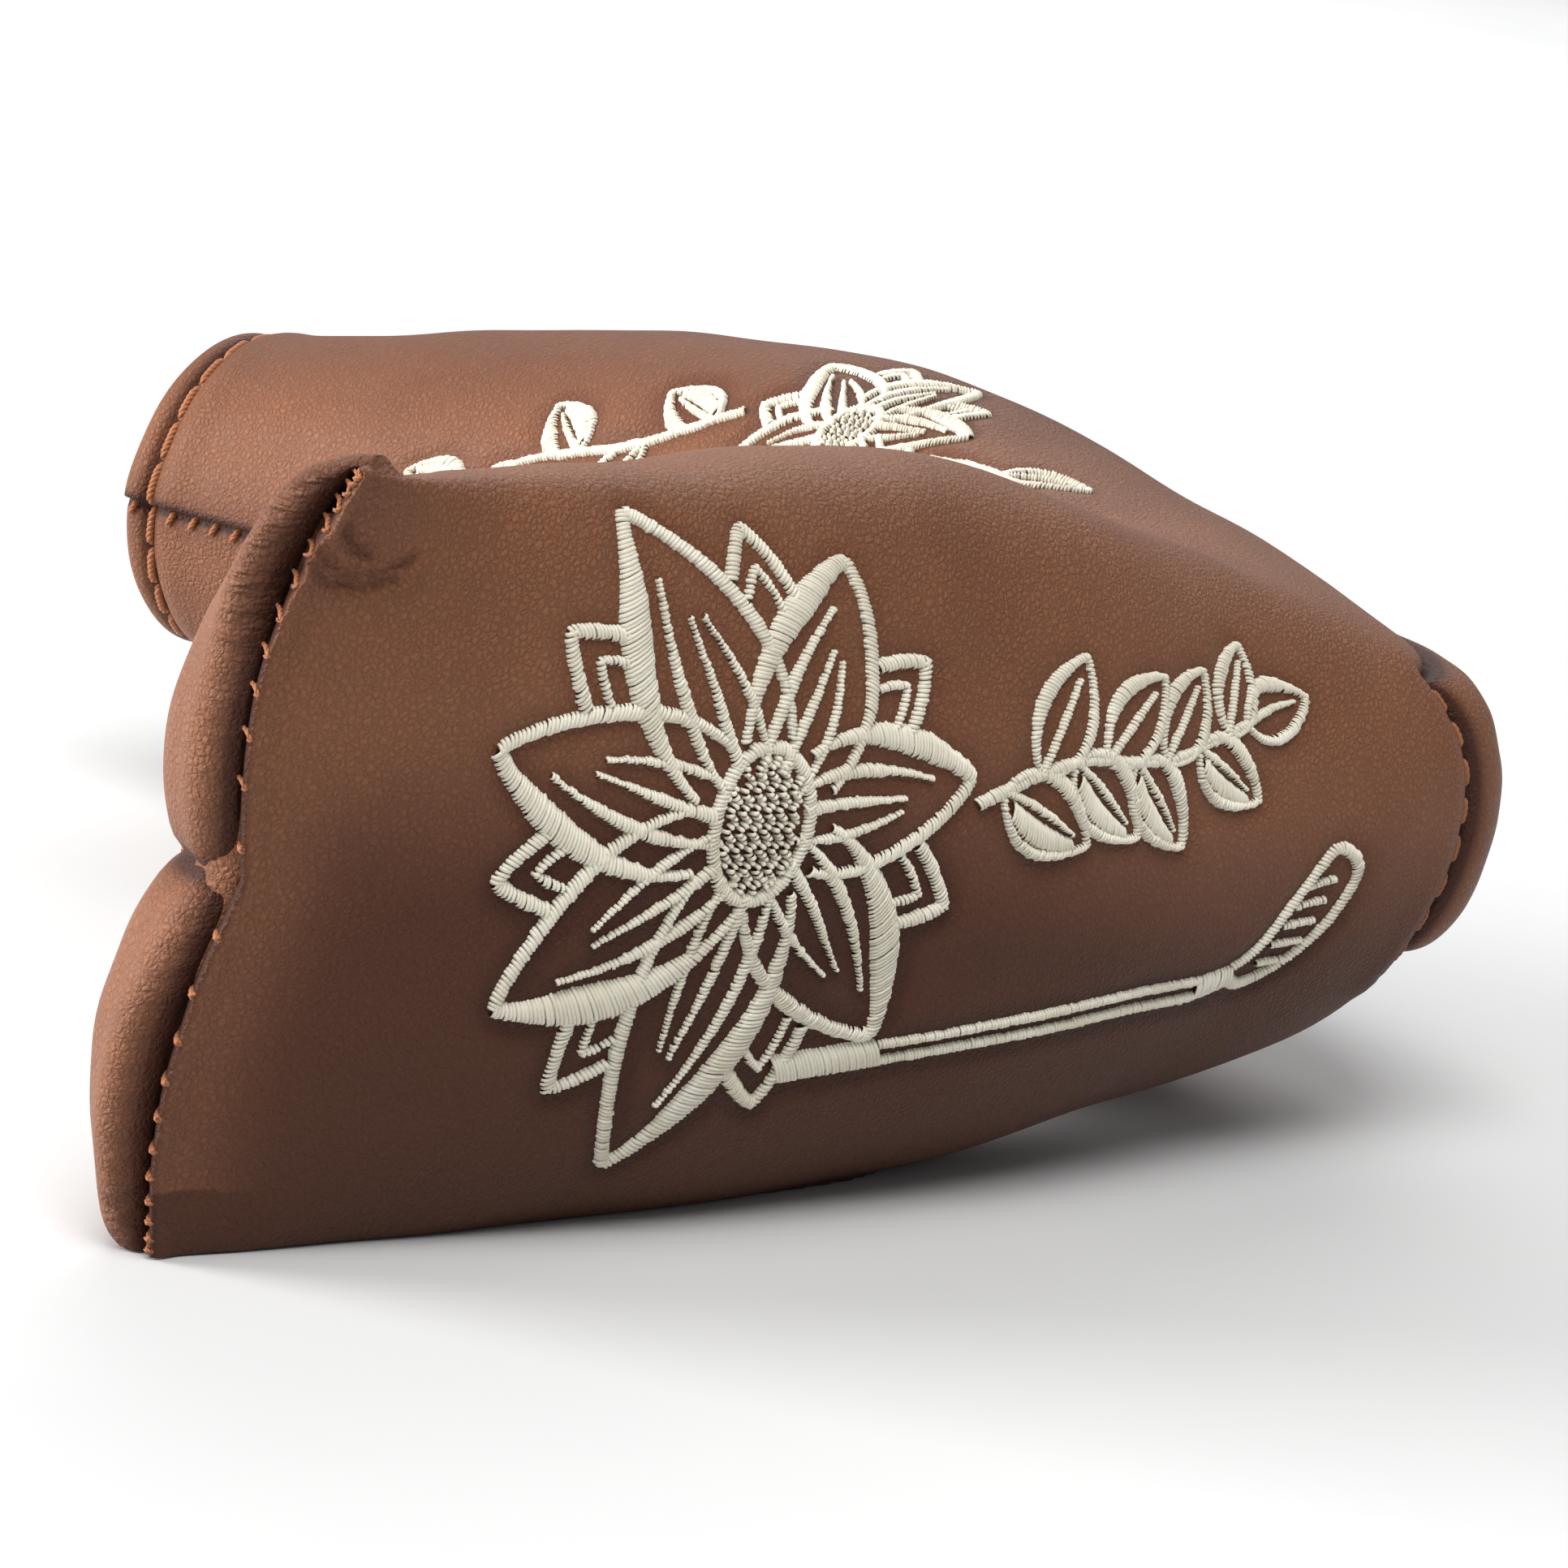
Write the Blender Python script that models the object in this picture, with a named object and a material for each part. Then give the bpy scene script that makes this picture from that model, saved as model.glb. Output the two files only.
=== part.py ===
"""Putter head cover: an L-shaped padded leather sleeve, modelled lying on its side.

The middle plane of the L is level. The neck runs along +X to its mouth, and the foot runs 70 degrees
round from it, towards +Y. Every shell is a layer of one lofted shape: cross sections stand on the
middle plane, each from an inner point P (inside the L) to an outer point Q (heel and sole side).
Lengths here are in millimetres and leave this file in metres.
"""

import math

import bpy
import numpy as np
from mathutils import Vector

# ---- driving dimensions (mm) ----
NECK_LENGTH = 167.0  # heel corner to the mouth, along the neck
NECK_RADIUS = 18.2  # outside of the collar
FOOT_LENGTH = 161.5  # heel corner to the toe seam
LIE_DEG = 70.0  # angle between neck and foot
TOE_HALF_WIDTH = 37.0  # half the length of the toe seam
TOE_TWIST_DEG = 9.4  # lean of the toe seam
TOE_LOBE = 3.2  # how far the two toe lobes stand proud of the seam's middle
REST_DEPTH = 36.5  # middle plane to the flat that the cover lies on

LEATHER = (0.0, 1.4)  # each layer as depths below the outer face
FACING = (1.7, 4.0)
FOAM = (1.7, 4.0)
LINING = (4.3, 5.3)
HEEL_PANEL = (-2.6, 1.4)
FLAP_LINING = (-1.2, -0.5)
FLAP_PADDING = (-2.5, -1.5)
FLAP_LEATHER = (-4.0, -2.8)
EMBROIDERY = (-1.5, -0.6)

THREAD_RADIUS = 0.35
THREAD_LIFT = 0.85  # thread centre above the leather
MAGNET_RADIUS = 2.4

SLOT_END = 3.5  # station where the neck slot ends
FLAP_STATIONS = (0.12, 3.85)
HEEL_START = 4.0  # station where the heel panel starts
HEEL_SEAM = 6.2  # station of the seam between heel panel and sole
SLOT = (-36, 24)  # edges of the neck slot, in degrees round the collar from its outer side
FLAP = (-60, 40)
HEEL = (-60, 55)
MAGNET_ANGLE = -48.0
STRAIGHT_ANGLE = 60  # within this angle the neck's lines keep the height that they have at the collar
MAGNET_STATIONS = (0.7, 1.8, 2.9)

# Middle of the box that holds the whole cover, on the flat that it lies on
ORIGIN = (83.2, 62.6, -REST_DEPTH)

FOOT_DIR = np.array([math.cos(math.radians(LIE_DEG)), math.sin(math.radians(LIE_DEG))])
INTO_L = np.array([FOOT_DIR[1], -FOOT_DIR[0]])

BROWN = (0.205, 0.088, 0.045)
THREAD_ORANGE = (0.50, 0.17, 0.045)
CREAM = (0.74, 0.67, 0.52)
FOAM_WHITE = (0.80, 0.78, 0.70)
PLUSH_BROWN = (0.11, 0.075, 0.055)


# ---- the lofted shape ----
def neck(x, outer_y, inner_x, inner_y, widest, up, down, power):
    """A station on the neck: outer point (x, outer_y) and inner point (inner_x, inner_y)."""
    return [x, outer_y, inner_x, inner_y, widest, up, down, power]


def foot(outer_s, outer_t, inner_s, inner_t, widest, up, down, power):
    """A station on the foot: s runs from the heel towards the toe, t from the sole into the L."""
    outer = outer_s * FOOT_DIR + outer_t * INTO_L
    inner = inner_s * FOOT_DIR + inner_t * INTO_L
    return [*outer, *inner, widest, up, down, power]


STATIONS = np.array(
    [
        neck(NECK_LENGTH, -18, NECK_LENGTH, 18, 0.50, NECK_RADIUS, NECK_RADIUS, 2.0),
        neck(140, -20, 140, 20, 0.50, 24, 22, 2.0),
        neck(105, -23, 106, 24, 0.50, 31, 30, 2.0),
        neck(70, -25, 80, 30, 0.48, 33, 39, 2.1),
        neck(38, -24, 66, 38, 0.42, 29, 38, 2.1),
        neck(13, -14, 58, 46, 0.36, 26, 34, 2.1),
        neck(1, 5, 57.5, 52, 0.36, 26, 33, 2.1),
        foot(35, -4, 78, 35, 0.45, 31, 35, 2.1),
        foot(62, -7, 92, 34, 0.52, 36, 37.5, 2.2),
        foot(90, -8, 108, 31, 0.55, 37, 38, 2.2),
        foot(118, -7, 130, 26, 0.60, 36.5, 38, 2.2),
        foot(140, -4, 147, 22, 0.70, 36.5, 38, 2.2),
        foot(153, -1.5, 157, 16, 0.82, TOE_HALF_WIDTH, 37.8, 2.3),
        foot(159, 0, 162, 11, 0.93, TOE_HALF_WIDTH, 37.2, 2.5),
        foot(161, 0, 163, 5.5, 0.97, TOE_HALF_WIDTH, TOE_HALF_WIDTH, 2.6),
        foot(FOOT_LENGTH, 0, FOOT_LENGTH, 0, 1.0, TOE_HALF_WIDTH, TOE_HALF_WIDTH, 2.6),
    ]
)
TOE_STATION = len(STATIONS) - 1.0


def between_stations(u):
    """Station values at u, on a smooth curve through the stations (Catmull-Rom)."""
    last = len(STATIONS) - 1
    u = min(max(u, 0.0), last - 1e-9)
    i = int(u)
    f = u - i
    a, b, c, d = (STATIONS[min(max(i + k, 0), last)] for k in (-1, 0, 1, 2))
    return 0.5 * (2 * b + (c - a) * f + (2 * a - 5 * b + 4 * c - d) * f**2 + (3 * b - a - 3 * c + d) * f**3)


def shrunk(length, depth):
    """A half-axis of a layer this deep, which never quite reaches zero."""
    if depth <= 0.0 or length < 1e-6:
        return max(length - depth, 0.0)
    return length - depth if length > 3 * depth else length * math.exp(-1.216 * depth / length)


def levelled(u, angle_deg, height, power):
    """The section's own angle, where lines on the neck's outer side run level as far as the heel."""
    angle = (angle_deg + 180) % 360 - 180
    share = min(max((9 - u) / 2.5, 0.0), 1.0)
    if abs(angle) >= 90 or share == 0:
        return angle_deg

    def level(a):
        return math.degrees(math.asin((NECK_RADIUS * math.sin(math.radians(a)) / height) ** (power / 2)))

    turned = level(min(abs(angle), STRAIGHT_ANGLE))
    if abs(angle) > STRAIGHT_ANGLE:
        turned += (90 - turned) * (abs(angle) - STRAIGHT_ANGLE) / (90 - STRAIGHT_ANGLE)
    return angle + (math.copysign(turned, angle) - angle) * share


def surface(u, angle_deg, depth=0.0):
    """A point of the layer at this depth: angle 0 is the outer side Q, 90 the upper side, 180 P."""
    qx, qy, px, py, widest, up, down, power = between_stations(u)
    angle_deg = levelled(u, angle_deg, up if 0 < angle_deg % 360 < 180 else down, power)
    outer, inner = np.array([qx, qy]), np.array([px, py])
    span = math.dist(outer, inner)
    along = (outer - inner) / max(span, 1e-9)
    centre = inner + (outer - inner) * widest
    c, s = math.cos(math.radians(angle_deg)), math.sin(math.radians(angle_deg))
    reach = shrunk(span * (1 - widest) if c > 0 else span * widest, depth)
    height = (up if s > 0 else down) - depth
    flat = centre + along * math.copysign(abs(c) ** (2 / power), c) * reach
    z = max(math.copysign(abs(s) ** (2 / power), s) * height, depth - REST_DEPTH)
    towards_toe = min(max(float(flat @ FOOT_DIR) / FOOT_LENGTH, 0.0), 1.0)
    lean = z * towards_toe**2 * math.tan(math.radians(TOE_TWIST_DEG))
    lobe = math.sin(math.pi * min(abs(z) / TOE_HALF_WIDTH, 1.0)) * TOE_LOBE
    lobe *= max((towards_toe - 0.75) / 0.25, 0.0) ** 1.5
    flat = flat - INTO_L * lean + FOOT_DIR * lobe
    return np.array([flat[0], flat[1], z])


def outward(u, angle_deg):
    """Unit normal of the outer face."""
    du, da = 0.02, 1.0
    along = surface(u + du, angle_deg) - surface(u - du, angle_deg)
    round_it = surface(u, angle_deg + da) - surface(u, angle_deg - da)
    n = np.cross(round_it, along)
    return n / np.linalg.norm(n)


def placed(point):
    """From the shape's own millimetres to the part's frame in metres."""
    return tuple((np.asarray(point, float) - ORIGIN) / 1000)


# ---- making objects ----
def material(name, colour, roughness, metallic=0.0):
    made = bpy.data.materials.new(name)
    made.use_nodes = True
    shader = made.node_tree.nodes["Principled BSDF"]
    shader.inputs["Base Color"].default_value = (*colour, 1)
    shader.inputs["Roughness"].default_value = roughness
    shader.inputs["Metallic"].default_value = metallic
    made.diffuse_color = (*colour, 1)
    return made


def mesh_object(name, points, faces, colour, roughness, metallic=0.0):
    mesh = bpy.data.meshes.new(name)
    mesh.from_pydata([placed(p) for p in points], [], faces)
    mesh.materials.append(material(name, colour, roughness, metallic))
    mesh.shade_smooth()
    mesh.set_sharp_from_angle(angle=math.radians(50))
    obj = bpy.data.objects.new(name, mesh)
    bpy.context.scene.collection.objects.link(obj)
    return obj


class Skin:
    """Two faces of a sheet, and the walls that join them along its edges."""

    def __init__(self):
        self.points = []
        self.faces = []
        self.found = {}

    def point(self, p):
        key = tuple(np.round(p, 3))
        if key not in self.found:
            self.found[key] = len(self.points)
            self.points.append(p)
        return self.found[key]

    def face(self, corners):
        ring = [self.point(p) for p in corners]
        ring = [v for k, v in enumerate(ring) if v != ring[k - 1]]
        if len(set(ring)) == len(ring) and len(ring) > 2:
            self.faces.append(ring)


def layer(name, depths, outer_rows, inner_rows, angles, holes, colour, roughness, closed_ring=True):
    """A sheet between two depths. Its rows are stations and its columns are angles.

    holes(i, j) says which cells are left out. The last row closes the end of a full ring.
    """
    skin = Skin()
    columns = len(angles)
    around = columns if closed_ring else columns - 1
    out = [[surface(u, a, depths[0]) for a in angles] for u in outer_rows]
    inn = [[surface(u, a, depths[1]) for a in angles] for u in inner_rows]
    rows = len(outer_rows) - 1
    kept = {(i, j) for i in range(rows) for j in range(around) if not holes(i, j)}
    for i, j in sorted(kept):
        k = (j + 1) % columns
        skin.face([out[i][j], out[i][k], out[i + 1][k], out[i + 1][j]])
        skin.face([inn[i][j], inn[i + 1][j], inn[i + 1][k], inn[i][k]])
        last = i == rows - 1 and closed_ring
        left = ((j - 1) % columns) if closed_ring else j - 1
        right = k if closed_ring else j + 1
        if (i - 1, j) not in kept:
            skin.face([out[i][j], inn[i][j], inn[i][k], out[i][k]])
        if (i + 1, j) not in kept and not last:
            skin.face([out[i + 1][k], inn[i + 1][k], inn[i + 1][j], out[i + 1][j]])
        if (i, left) not in kept:
            skin.face([out[i + 1][j], inn[i + 1][j], inn[i][j], out[i][j]])
        if (i, right) not in kept:
            skin.face([out[i][k], inn[i][k], inn[i + 1][k], out[i + 1][k]])
    if closed_ring:
        close_end(skin, out[-1], 1)
        close_end(skin, inn[-1], -1)
    return mesh_object(name, skin.points, skin.faces, colour, roughness)


def close_end(skin, ring, side):
    """Closes a ring flat, unless its two sides already lie on each other, as along the toe seam."""
    closed = all(min(np.linalg.norm(p - q) for q in ring if q is not p) < 2e-3 for p in ring[1:3])
    if closed:
        return
    middle = sum(ring) / len(ring)
    for a, b in zip(ring, ring[1:] + ring[:1]):
        skin.face([b, a, middle] if side < 0 else [a, b, middle])


def thread(name, route, colour=THREAD_ORANGE):
    """A row of stitching as one fine cord along a list of points."""
    curve = bpy.data.curves.new(name, "CURVE")
    curve.dimensions = "3D"
    curve.bevel_depth = THREAD_RADIUS / 1000
    curve.bevel_resolution = 0
    curve.use_fill_caps = True
    spline = curve.splines.new("POLY")
    spline.points.add(len(route) - 1)
    for knot, p in zip(spline.points, route):
        knot.co = (*placed(p), 1)
    curve.materials.append(material(name, colour, 0.6))
    obj = bpy.data.objects.new(name, curve)
    bpy.context.scene.collection.objects.link(obj)
    return obj


def lifted(u, angle_deg, lift):
    return surface(u, angle_deg) + outward(u, angle_deg) * lift


def steps(first, last, count):
    return [first + (last - first) * k / count for k in range(count + 1)]


# ---- the pieces ----
UPPER = [0, 12, 24, 40, 55, 72, 90]
LOWER = [12, 24, 36, 48, 60, 75, 90]
RING = UPPER + [180 - a for a in UPPER[-2::-1]]
RING += [180 + a for a in LOWER] + [360 - a for a in LOWER[-2::-1]]
BODY_ROWS = steps(0, 4, 8) + [4.5, 5, 5.6, HEEL_SEAM, 7] + steps(7.7, 11, 5) + [11.5]
# Rows near the toe, of a layer's outer face and of its inner face
LEATHER_ENDS = (
    [12, 12.25, 12.5, 13, 13.5, 14, 14.6, TOE_STATION],
    [12, 12.25, 12.5, 12.6, 12.7, 12.8, 12.9, 13],
)
FOAM_ENDS = ([12, 12.25, 12.5], [11.8, 12, 12.2])
LINING_ENDS = ([11.8, 11.9, 12], [11.6, 11.7, 11.8])


def signed(angle):
    return angle if angle <= 180 else angle - 360


def within(j, edges):
    """True where the cell after ring angle j lies between two edge angles."""
    low, high = signed(RING[j]), signed(RING[(j + 1) % len(RING)])
    return edges[0] <= low and high <= edges[1] and low < high


def cut_from(rows, *cuts):
    """The holes of a layer: each cut is (first station, last station, edge angles)."""

    def holes(i, j):
        return any(rows[i] > a - 0.01 and rows[i + 1] < b + 0.01 and within(j, e) for a, b, e in cuts)

    return holes


def sleeve(name, depths, rows, ends, cuts, colour, roughness):
    """One whole layer of the sleeve, with its openings."""
    holes = cut_from(rows + ends[0], *cuts)
    layer(name, depths, rows + ends[0], rows + ends[1], RING, holes, colour, roughness)


def make_sleeve():
    slot = (0, SLOT_END, SLOT)
    under_heel_panel = (HEEL_START, HEEL_SEAM, HEEL)
    magnet_slot = (0, SLOT_END, (-75, SLOT[1]))
    padded = BODY_ROWS[1:]
    cuts = (slot, under_heel_panel)
    sleeve("leather_body", LEATHER, BODY_ROWS, LEATHER_ENDS, cuts, BROWN, 0.45)
    sleeve("foam_padding", FOAM, padded, FOAM_ENDS, (magnet_slot,), FOAM_WHITE, 0.9)
    sleeve("plush_lining", LINING, [0.1] + padded, LINING_ENDS, (slot,), PLUSH_BROWN, 0.95)


def panel(name, depths, rows, angles, colour, roughness):
    """A sheet with four edges."""
    layer(name, depths, rows, rows, angles, lambda i, j: False, colour, roughness, False)


def make_collar_facing():
    angles = [a for a in RING if SLOT[1] <= a <= 360 + SLOT[0]]
    panel("collar_facing", FACING, [0.03, 0.24, 0.44], angles, BROWN, 0.5)


def make_heel_panel():
    margin_row, margin_angle = 0.04, 1.5
    rows = [HEEL_START + margin_row, 4.5, 5, 5.6, HEEL_SEAM - margin_row]
    angles = ring_between(*HEEL)
    angles = [HEEL[0] + margin_angle, *angles[1:-1], HEEL[1] - margin_angle]
    panel("heel_panel", HEEL_PANEL, rows, angles, BROWN, 0.45)


def ring_between(low, high):
    return sorted(signed(a) for a in RING if low <= signed(a) <= high)


def make_flap():
    rows = steps(*FLAP_STATIONS, 8)
    whole = ring_between(*FLAP)
    panel("flap_leather", FLAP_LEATHER, rows, whole, BROWN, 0.45)
    panel("flap_padding", FLAP_PADDING, rows, ring_between(SLOT[0], FLAP[1]), FOAM_WHITE, 0.9)
    panel("flap_lining", FLAP_LINING, rows, whole, PLUSH_BROWN, 0.95)


def hang_flap():
    """Parents every piece of the flap to an empty that stands on the hinge line, with its X along it."""
    lift = -(FLAP_LEATHER[0] + FLAP_LINING[1]) / 2
    seam = [lifted(u, FLAP[1], lift) for u in steps(*FLAP_STATIONS, 8)]
    middle = sum(seam) / len(seam)
    line = Vector(seam[0] - seam[-1])
    hinge = bpy.data.objects.new("flap_hinge", None)
    hinge.empty_display_size = 0.02
    hinge.location = placed(middle)
    hinge.rotation_euler = line.to_track_quat("X", "Z").to_euler()
    bpy.context.scene.collection.objects.link(hinge)
    bpy.context.view_layer.update()
    for obj in bpy.data.objects:
        if obj.name.startswith("flap_") and obj is not hinge:
            obj.parent = hinge
            obj.matrix_parent_inverse = hinge.matrix_world.inverted()


def disc(name, centre, normal, depths):
    """A flat round magnet whose faces lie at these distances along the normal."""
    side = np.cross(normal, (1.0, 0.0, 0.0))
    side /= np.linalg.norm(side)
    third = np.cross(normal, side)
    count = 14
    rim = [
        side * math.cos(2 * math.pi * k / count) + third * math.sin(2 * math.pi * k / count)
        for k in range(count)
    ]
    points = [centre + normal * d + r * MAGNET_RADIUS for d in depths for r in rim]
    faces = [list(range(count))[::-1], list(range(count, 2 * count))]
    faces += [[k, (k + 1) % count, count + (k + 1) % count, count + k] for k in range(count)]
    mesh_object(name, points, faces, (0.62, 0.62, 0.64), 0.3, 1.0)


def make_magnets():
    for number, u in enumerate(MAGNET_STATIONS, 1):
        centre, normal = surface(u, MAGNET_ANGLE), outward(u, MAGNET_ANGLE)
        disc(f"flap_magnet_{number}", centre, normal, (1.5, 2.3))
        disc(f"body_magnet_{number}", centre, normal, (-3.2, -2.1))


def make_threads():
    ring = steps(FLAP[1] + 4, 356 + FLAP[0], 40)
    thread("collar_topstitch", [lifted(0.14, a, THREAD_LIFT) for a in ring])
    thread("centre_seam_thread", [lifted(u, 180, THREAD_LIFT) for u in steps(0.3, 12.6, 40)])
    thread("toe_seam_thread", [lifted(14.2, a, THREAD_LIFT) for a in steps(-62, 80, 22)])
    heel = steps(HEEL[0] + 4, HEEL[1] - 4, 14)
    thread("heel_seam_thread", [lifted(HEEL_SEAM + 0.16, a, THREAD_LIFT) for a in heel])
    low, high = FLAP[0] + 8, FLAP[1] - 8
    first, last = 0.3, 3.5
    route = [(u, low) for u in steps(first, last, 14)]
    route += [(last, a) for a in steps(low, high, 10)[1:]]
    route += [(u, high) for u in steps(last, first, 14)[1:]]
    route += [(first, a) for a in steps(high, low + 10, 9)[1:]]
    thread("flap_topstitch", [lifted(u, a, THREAD_LIFT - FLAP_LEATHER[0]) for u, a in route])


def patch(name, middle, size, outline, colour=CREAM, spokes=28, rings=3):
    """A thin raised area of embroidery. outline(angle) gives its edge, from 0 to 1 of its size."""
    skin = Skin()

    def at(k, r, depth):
        turn = 2 * math.pi * k / spokes
        reach = outline(turn) * r / rings
        u = middle[0] + size[0] * reach * math.cos(turn)
        return surface(u, middle[1] + size[1] * reach * math.sin(turn), depth)

    top, under = EMBROIDERY
    for k in range(spokes):
        for r in range(rings):
            skin.face([at(k + 1, r, top), at(k + 1, r + 1, top), at(k, r + 1, top), at(k, r, top)])
            skin.face([at(k, r, under), at(k, r + 1, under), at(k + 1, r + 1, under), at(k + 1, r, under)])
        skin.face([at(k + 1, rings, top), at(k + 1, rings, under), at(k, rings, under), at(k, rings, top)])
    return mesh_object(name, skin.points, skin.faces, colour, 0.6)


def make_embroidery():
    def blossom(turn):
        return 0.86 + 0.14 * math.cos(7 * turn)

    def oval(turn):
        return 1.0

    patch("embroidery_blossom", (10.1, -6), (1.25, 50), blossom)
    patch("embroidery_club", (7.9, -22), (0.75, 12), oval, spokes=16, rings=2)
    patch("embroidery_buds", (7.8, 10), (0.75, 14), oval, spokes=16, rings=2)
    patch("embroidery_side_blossom", (2.6, 118), (1.3, 16), blossom)


def main():
    for obj in list(bpy.data.objects):
        bpy.data.objects.remove(obj, do_unlink=True)
    make_sleeve()
    make_collar_facing()
    make_heel_panel()
    make_flap()
    make_magnets()
    make_threads()
    make_embroidery()
    hang_flap()


main()
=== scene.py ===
import math

import bpy
import numpy as np
from mathutils import Matrix, Vector


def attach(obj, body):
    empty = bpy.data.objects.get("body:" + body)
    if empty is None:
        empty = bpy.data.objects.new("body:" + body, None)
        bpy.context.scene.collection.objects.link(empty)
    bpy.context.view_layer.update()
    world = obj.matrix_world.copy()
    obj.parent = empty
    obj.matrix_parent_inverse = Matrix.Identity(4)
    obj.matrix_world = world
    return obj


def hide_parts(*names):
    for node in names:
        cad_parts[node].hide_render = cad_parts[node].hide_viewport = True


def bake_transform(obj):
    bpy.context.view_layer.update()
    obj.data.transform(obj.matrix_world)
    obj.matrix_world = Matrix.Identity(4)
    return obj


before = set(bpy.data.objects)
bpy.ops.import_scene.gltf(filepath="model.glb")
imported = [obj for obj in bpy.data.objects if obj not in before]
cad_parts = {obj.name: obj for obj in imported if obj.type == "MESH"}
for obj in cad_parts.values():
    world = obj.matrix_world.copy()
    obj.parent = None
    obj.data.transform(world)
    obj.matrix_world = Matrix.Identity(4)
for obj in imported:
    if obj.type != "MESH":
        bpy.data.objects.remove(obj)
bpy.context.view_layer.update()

# Looks of the putter head cover. The shape is worked out in millimetres in its own frame: the heel corner
# is at the origin, the middle plane of the L at z = 0, the neck along +x. placed() takes it to the frame.

# ---- driving dimensions (mm), the part's to within a seam's width ----
NECK_LENGTH = 167.0
NECK_RADIUS = 18.2
FOOT_LENGTH = 161.5
LIE_DEG = 70.0
TOE_HALF_WIDTH = 37.0
TOE_TWIST_DEG = 9.4
TOE_LOBE = 3.2
REST_DEPTH = 36.5
SLOT_END, HEEL_START, HEEL_SEAM = 3.5, 4.0, 6.0
SLOT = (-36, 24)
FLAP = (-60, 40)
FLAP_STATIONS = (0.12, 3.85)
HEEL = (-60, 54)
STRAIGHT_ANGLE = 60
ORIGIN = np.array([83.2, 62.6, -REST_DEPTH])

FOOT_DIR = np.array([math.cos(math.radians(LIE_DEG)), math.sin(math.radians(LIE_DEG))])
INTO_L = np.array([FOOT_DIR[1], -FOOT_DIR[0]])

# ---- details (mm) ----
LEATHER_THICK = 1.4
EDGE_THICK = 4.1  # leather and its turned-in edge
HEM_WIDTH = 4.2
STITCH_PITCH = 3.1
HEM_STITCH = 5.2
HINGE_MARGIN = 50  # the flap is sewn down as far as this angle
STRAND_PITCH = 0.40
STRAND_RADIUS = 0.22
SLANT_DEG = 22.0  # of a satin column's strands
FLAP_PITCH, FLAP_STITCH, FLAP_INSET = 4.1, 3.5, 4.4  # of the flap's stitches
HINGE_ROW = 48.0  # angle of the row of stitches that holds the flap


# ======== the shape ========
def neck(x, outer_y, inner_x, inner_y, widest, up, down, power):
    return [x, outer_y, inner_x, inner_y, widest, up, down, power]


def foot(outer_s, outer_t, inner_s, inner_t, widest, up, down, power):
    outer = outer_s * FOOT_DIR + outer_t * INTO_L
    inner = inner_s * FOOT_DIR + inner_t * INTO_L
    return [*outer, *inner, widest, up, down, power]


STATIONS = np.array(
    [
        neck(NECK_LENGTH, -18, NECK_LENGTH, 18, 0.50, NECK_RADIUS, NECK_RADIUS, 2.0),
        neck(140, -20, 140, 20, 0.50, 24, 22, 2.0),
        neck(105, -23, 106, 24, 0.50, 31, 30, 2.0),
        neck(70, -25, 80, 30, 0.48, 33, 39, 2.1),
        neck(38, -24, 66, 38, 0.42, 29, 38, 2.1),
        neck(13, -14, 58, 46, 0.36, 26, 34, 2.1),
        neck(1, 5, 57.5, 52, 0.36, 26, 33, 2.1),
        foot(35, -4, 78, 35, 0.45, 31, 35, 2.1),
        foot(62, -7, 92, 34, 0.52, 36, 37.5, 2.2),
        foot(90, -8, 108, 31, 0.55, 37, 38, 2.2),
        foot(118, -7, 130, 26, 0.60, 36.5, 38, 2.2),
        foot(140, -4, 147, 22, 0.70, 36.5, 38, 2.2),
        foot(153, -1.5, 157, 16, 0.82, TOE_HALF_WIDTH, 37.8, 2.3),
        foot(159, 0, 162, 11, 0.93, TOE_HALF_WIDTH, 37.2, 2.5),
        foot(161, 0, 163, 5.5, 0.97, TOE_HALF_WIDTH, TOE_HALF_WIDTH, 2.6),
        foot(FOOT_LENGTH, 0, FOOT_LENGTH, 0, 1.0, TOE_HALF_WIDTH, TOE_HALF_WIDTH, 2.6),
    ]
)
TOE_STATION = len(STATIONS) - 1.0


def along_curve(rows, t):
    """Values on a smooth curve through these rows (Catmull-Rom), at places t counted in rows."""
    last = len(rows) - 1
    t = np.clip(t, 0.0, last - 1e-9)
    i = t.astype(int)
    f = (t - i)[..., None]
    a, b, c, d = (rows[np.clip(i + k, 0, last)] for k in (-1, 0, 1, 2))
    return 0.5 * (2 * b + (c - a) * f + (2 * a - 5 * b + 4 * c - d) * f**2 + (3 * b - a - 3 * c + d) * f**3)


def distance_along(line):
    """How far each point of a line is from its start, along it."""
    return np.concatenate([[0], np.cumsum(np.linalg.norm(np.diff(line, axis=0), axis=1))])


def signed(angle):
    return (angle + 180.0) % 360.0 - 180.0


def levelled(u, angle, height, power):
    """The section's own angle: lines on the neck's outer side run level as far as the heel."""
    angle = signed(angle)
    share = np.clip((9.0 - u) / 2.5, 0.0, 1.0)
    size = np.abs(angle)
    sine = NECK_RADIUS * np.sin(np.radians(np.minimum(size, STRAIGHT_ANGLE))) / height
    turned = np.degrees(np.arcsin(np.clip(sine, 0, 1) ** (power / 2)))
    rest = np.maximum(size - STRAIGHT_ANGLE, 0) / (90.0 - STRAIGHT_ANGLE)
    turned = turned + (90.0 - turned) * rest
    moved = angle + (np.copysign(turned, angle) - angle) * share
    return np.where(size >= 90, angle, moved)


def shrunk(length, depth):
    """A half-axis of a layer this deep, which never quite reaches zero."""
    deep = length * np.exp(-1.216 * depth / np.maximum(length, 1e-6))
    inside = np.where(length > 3 * depth, length - depth, deep)
    return np.where(depth <= 0, np.maximum(length - depth, 0), inside)


def same_shape(*values):
    """Arrays of one shape from numbers and arrays."""
    return np.broadcast_arrays(*(np.asarray(value, float) for value in values))


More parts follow.
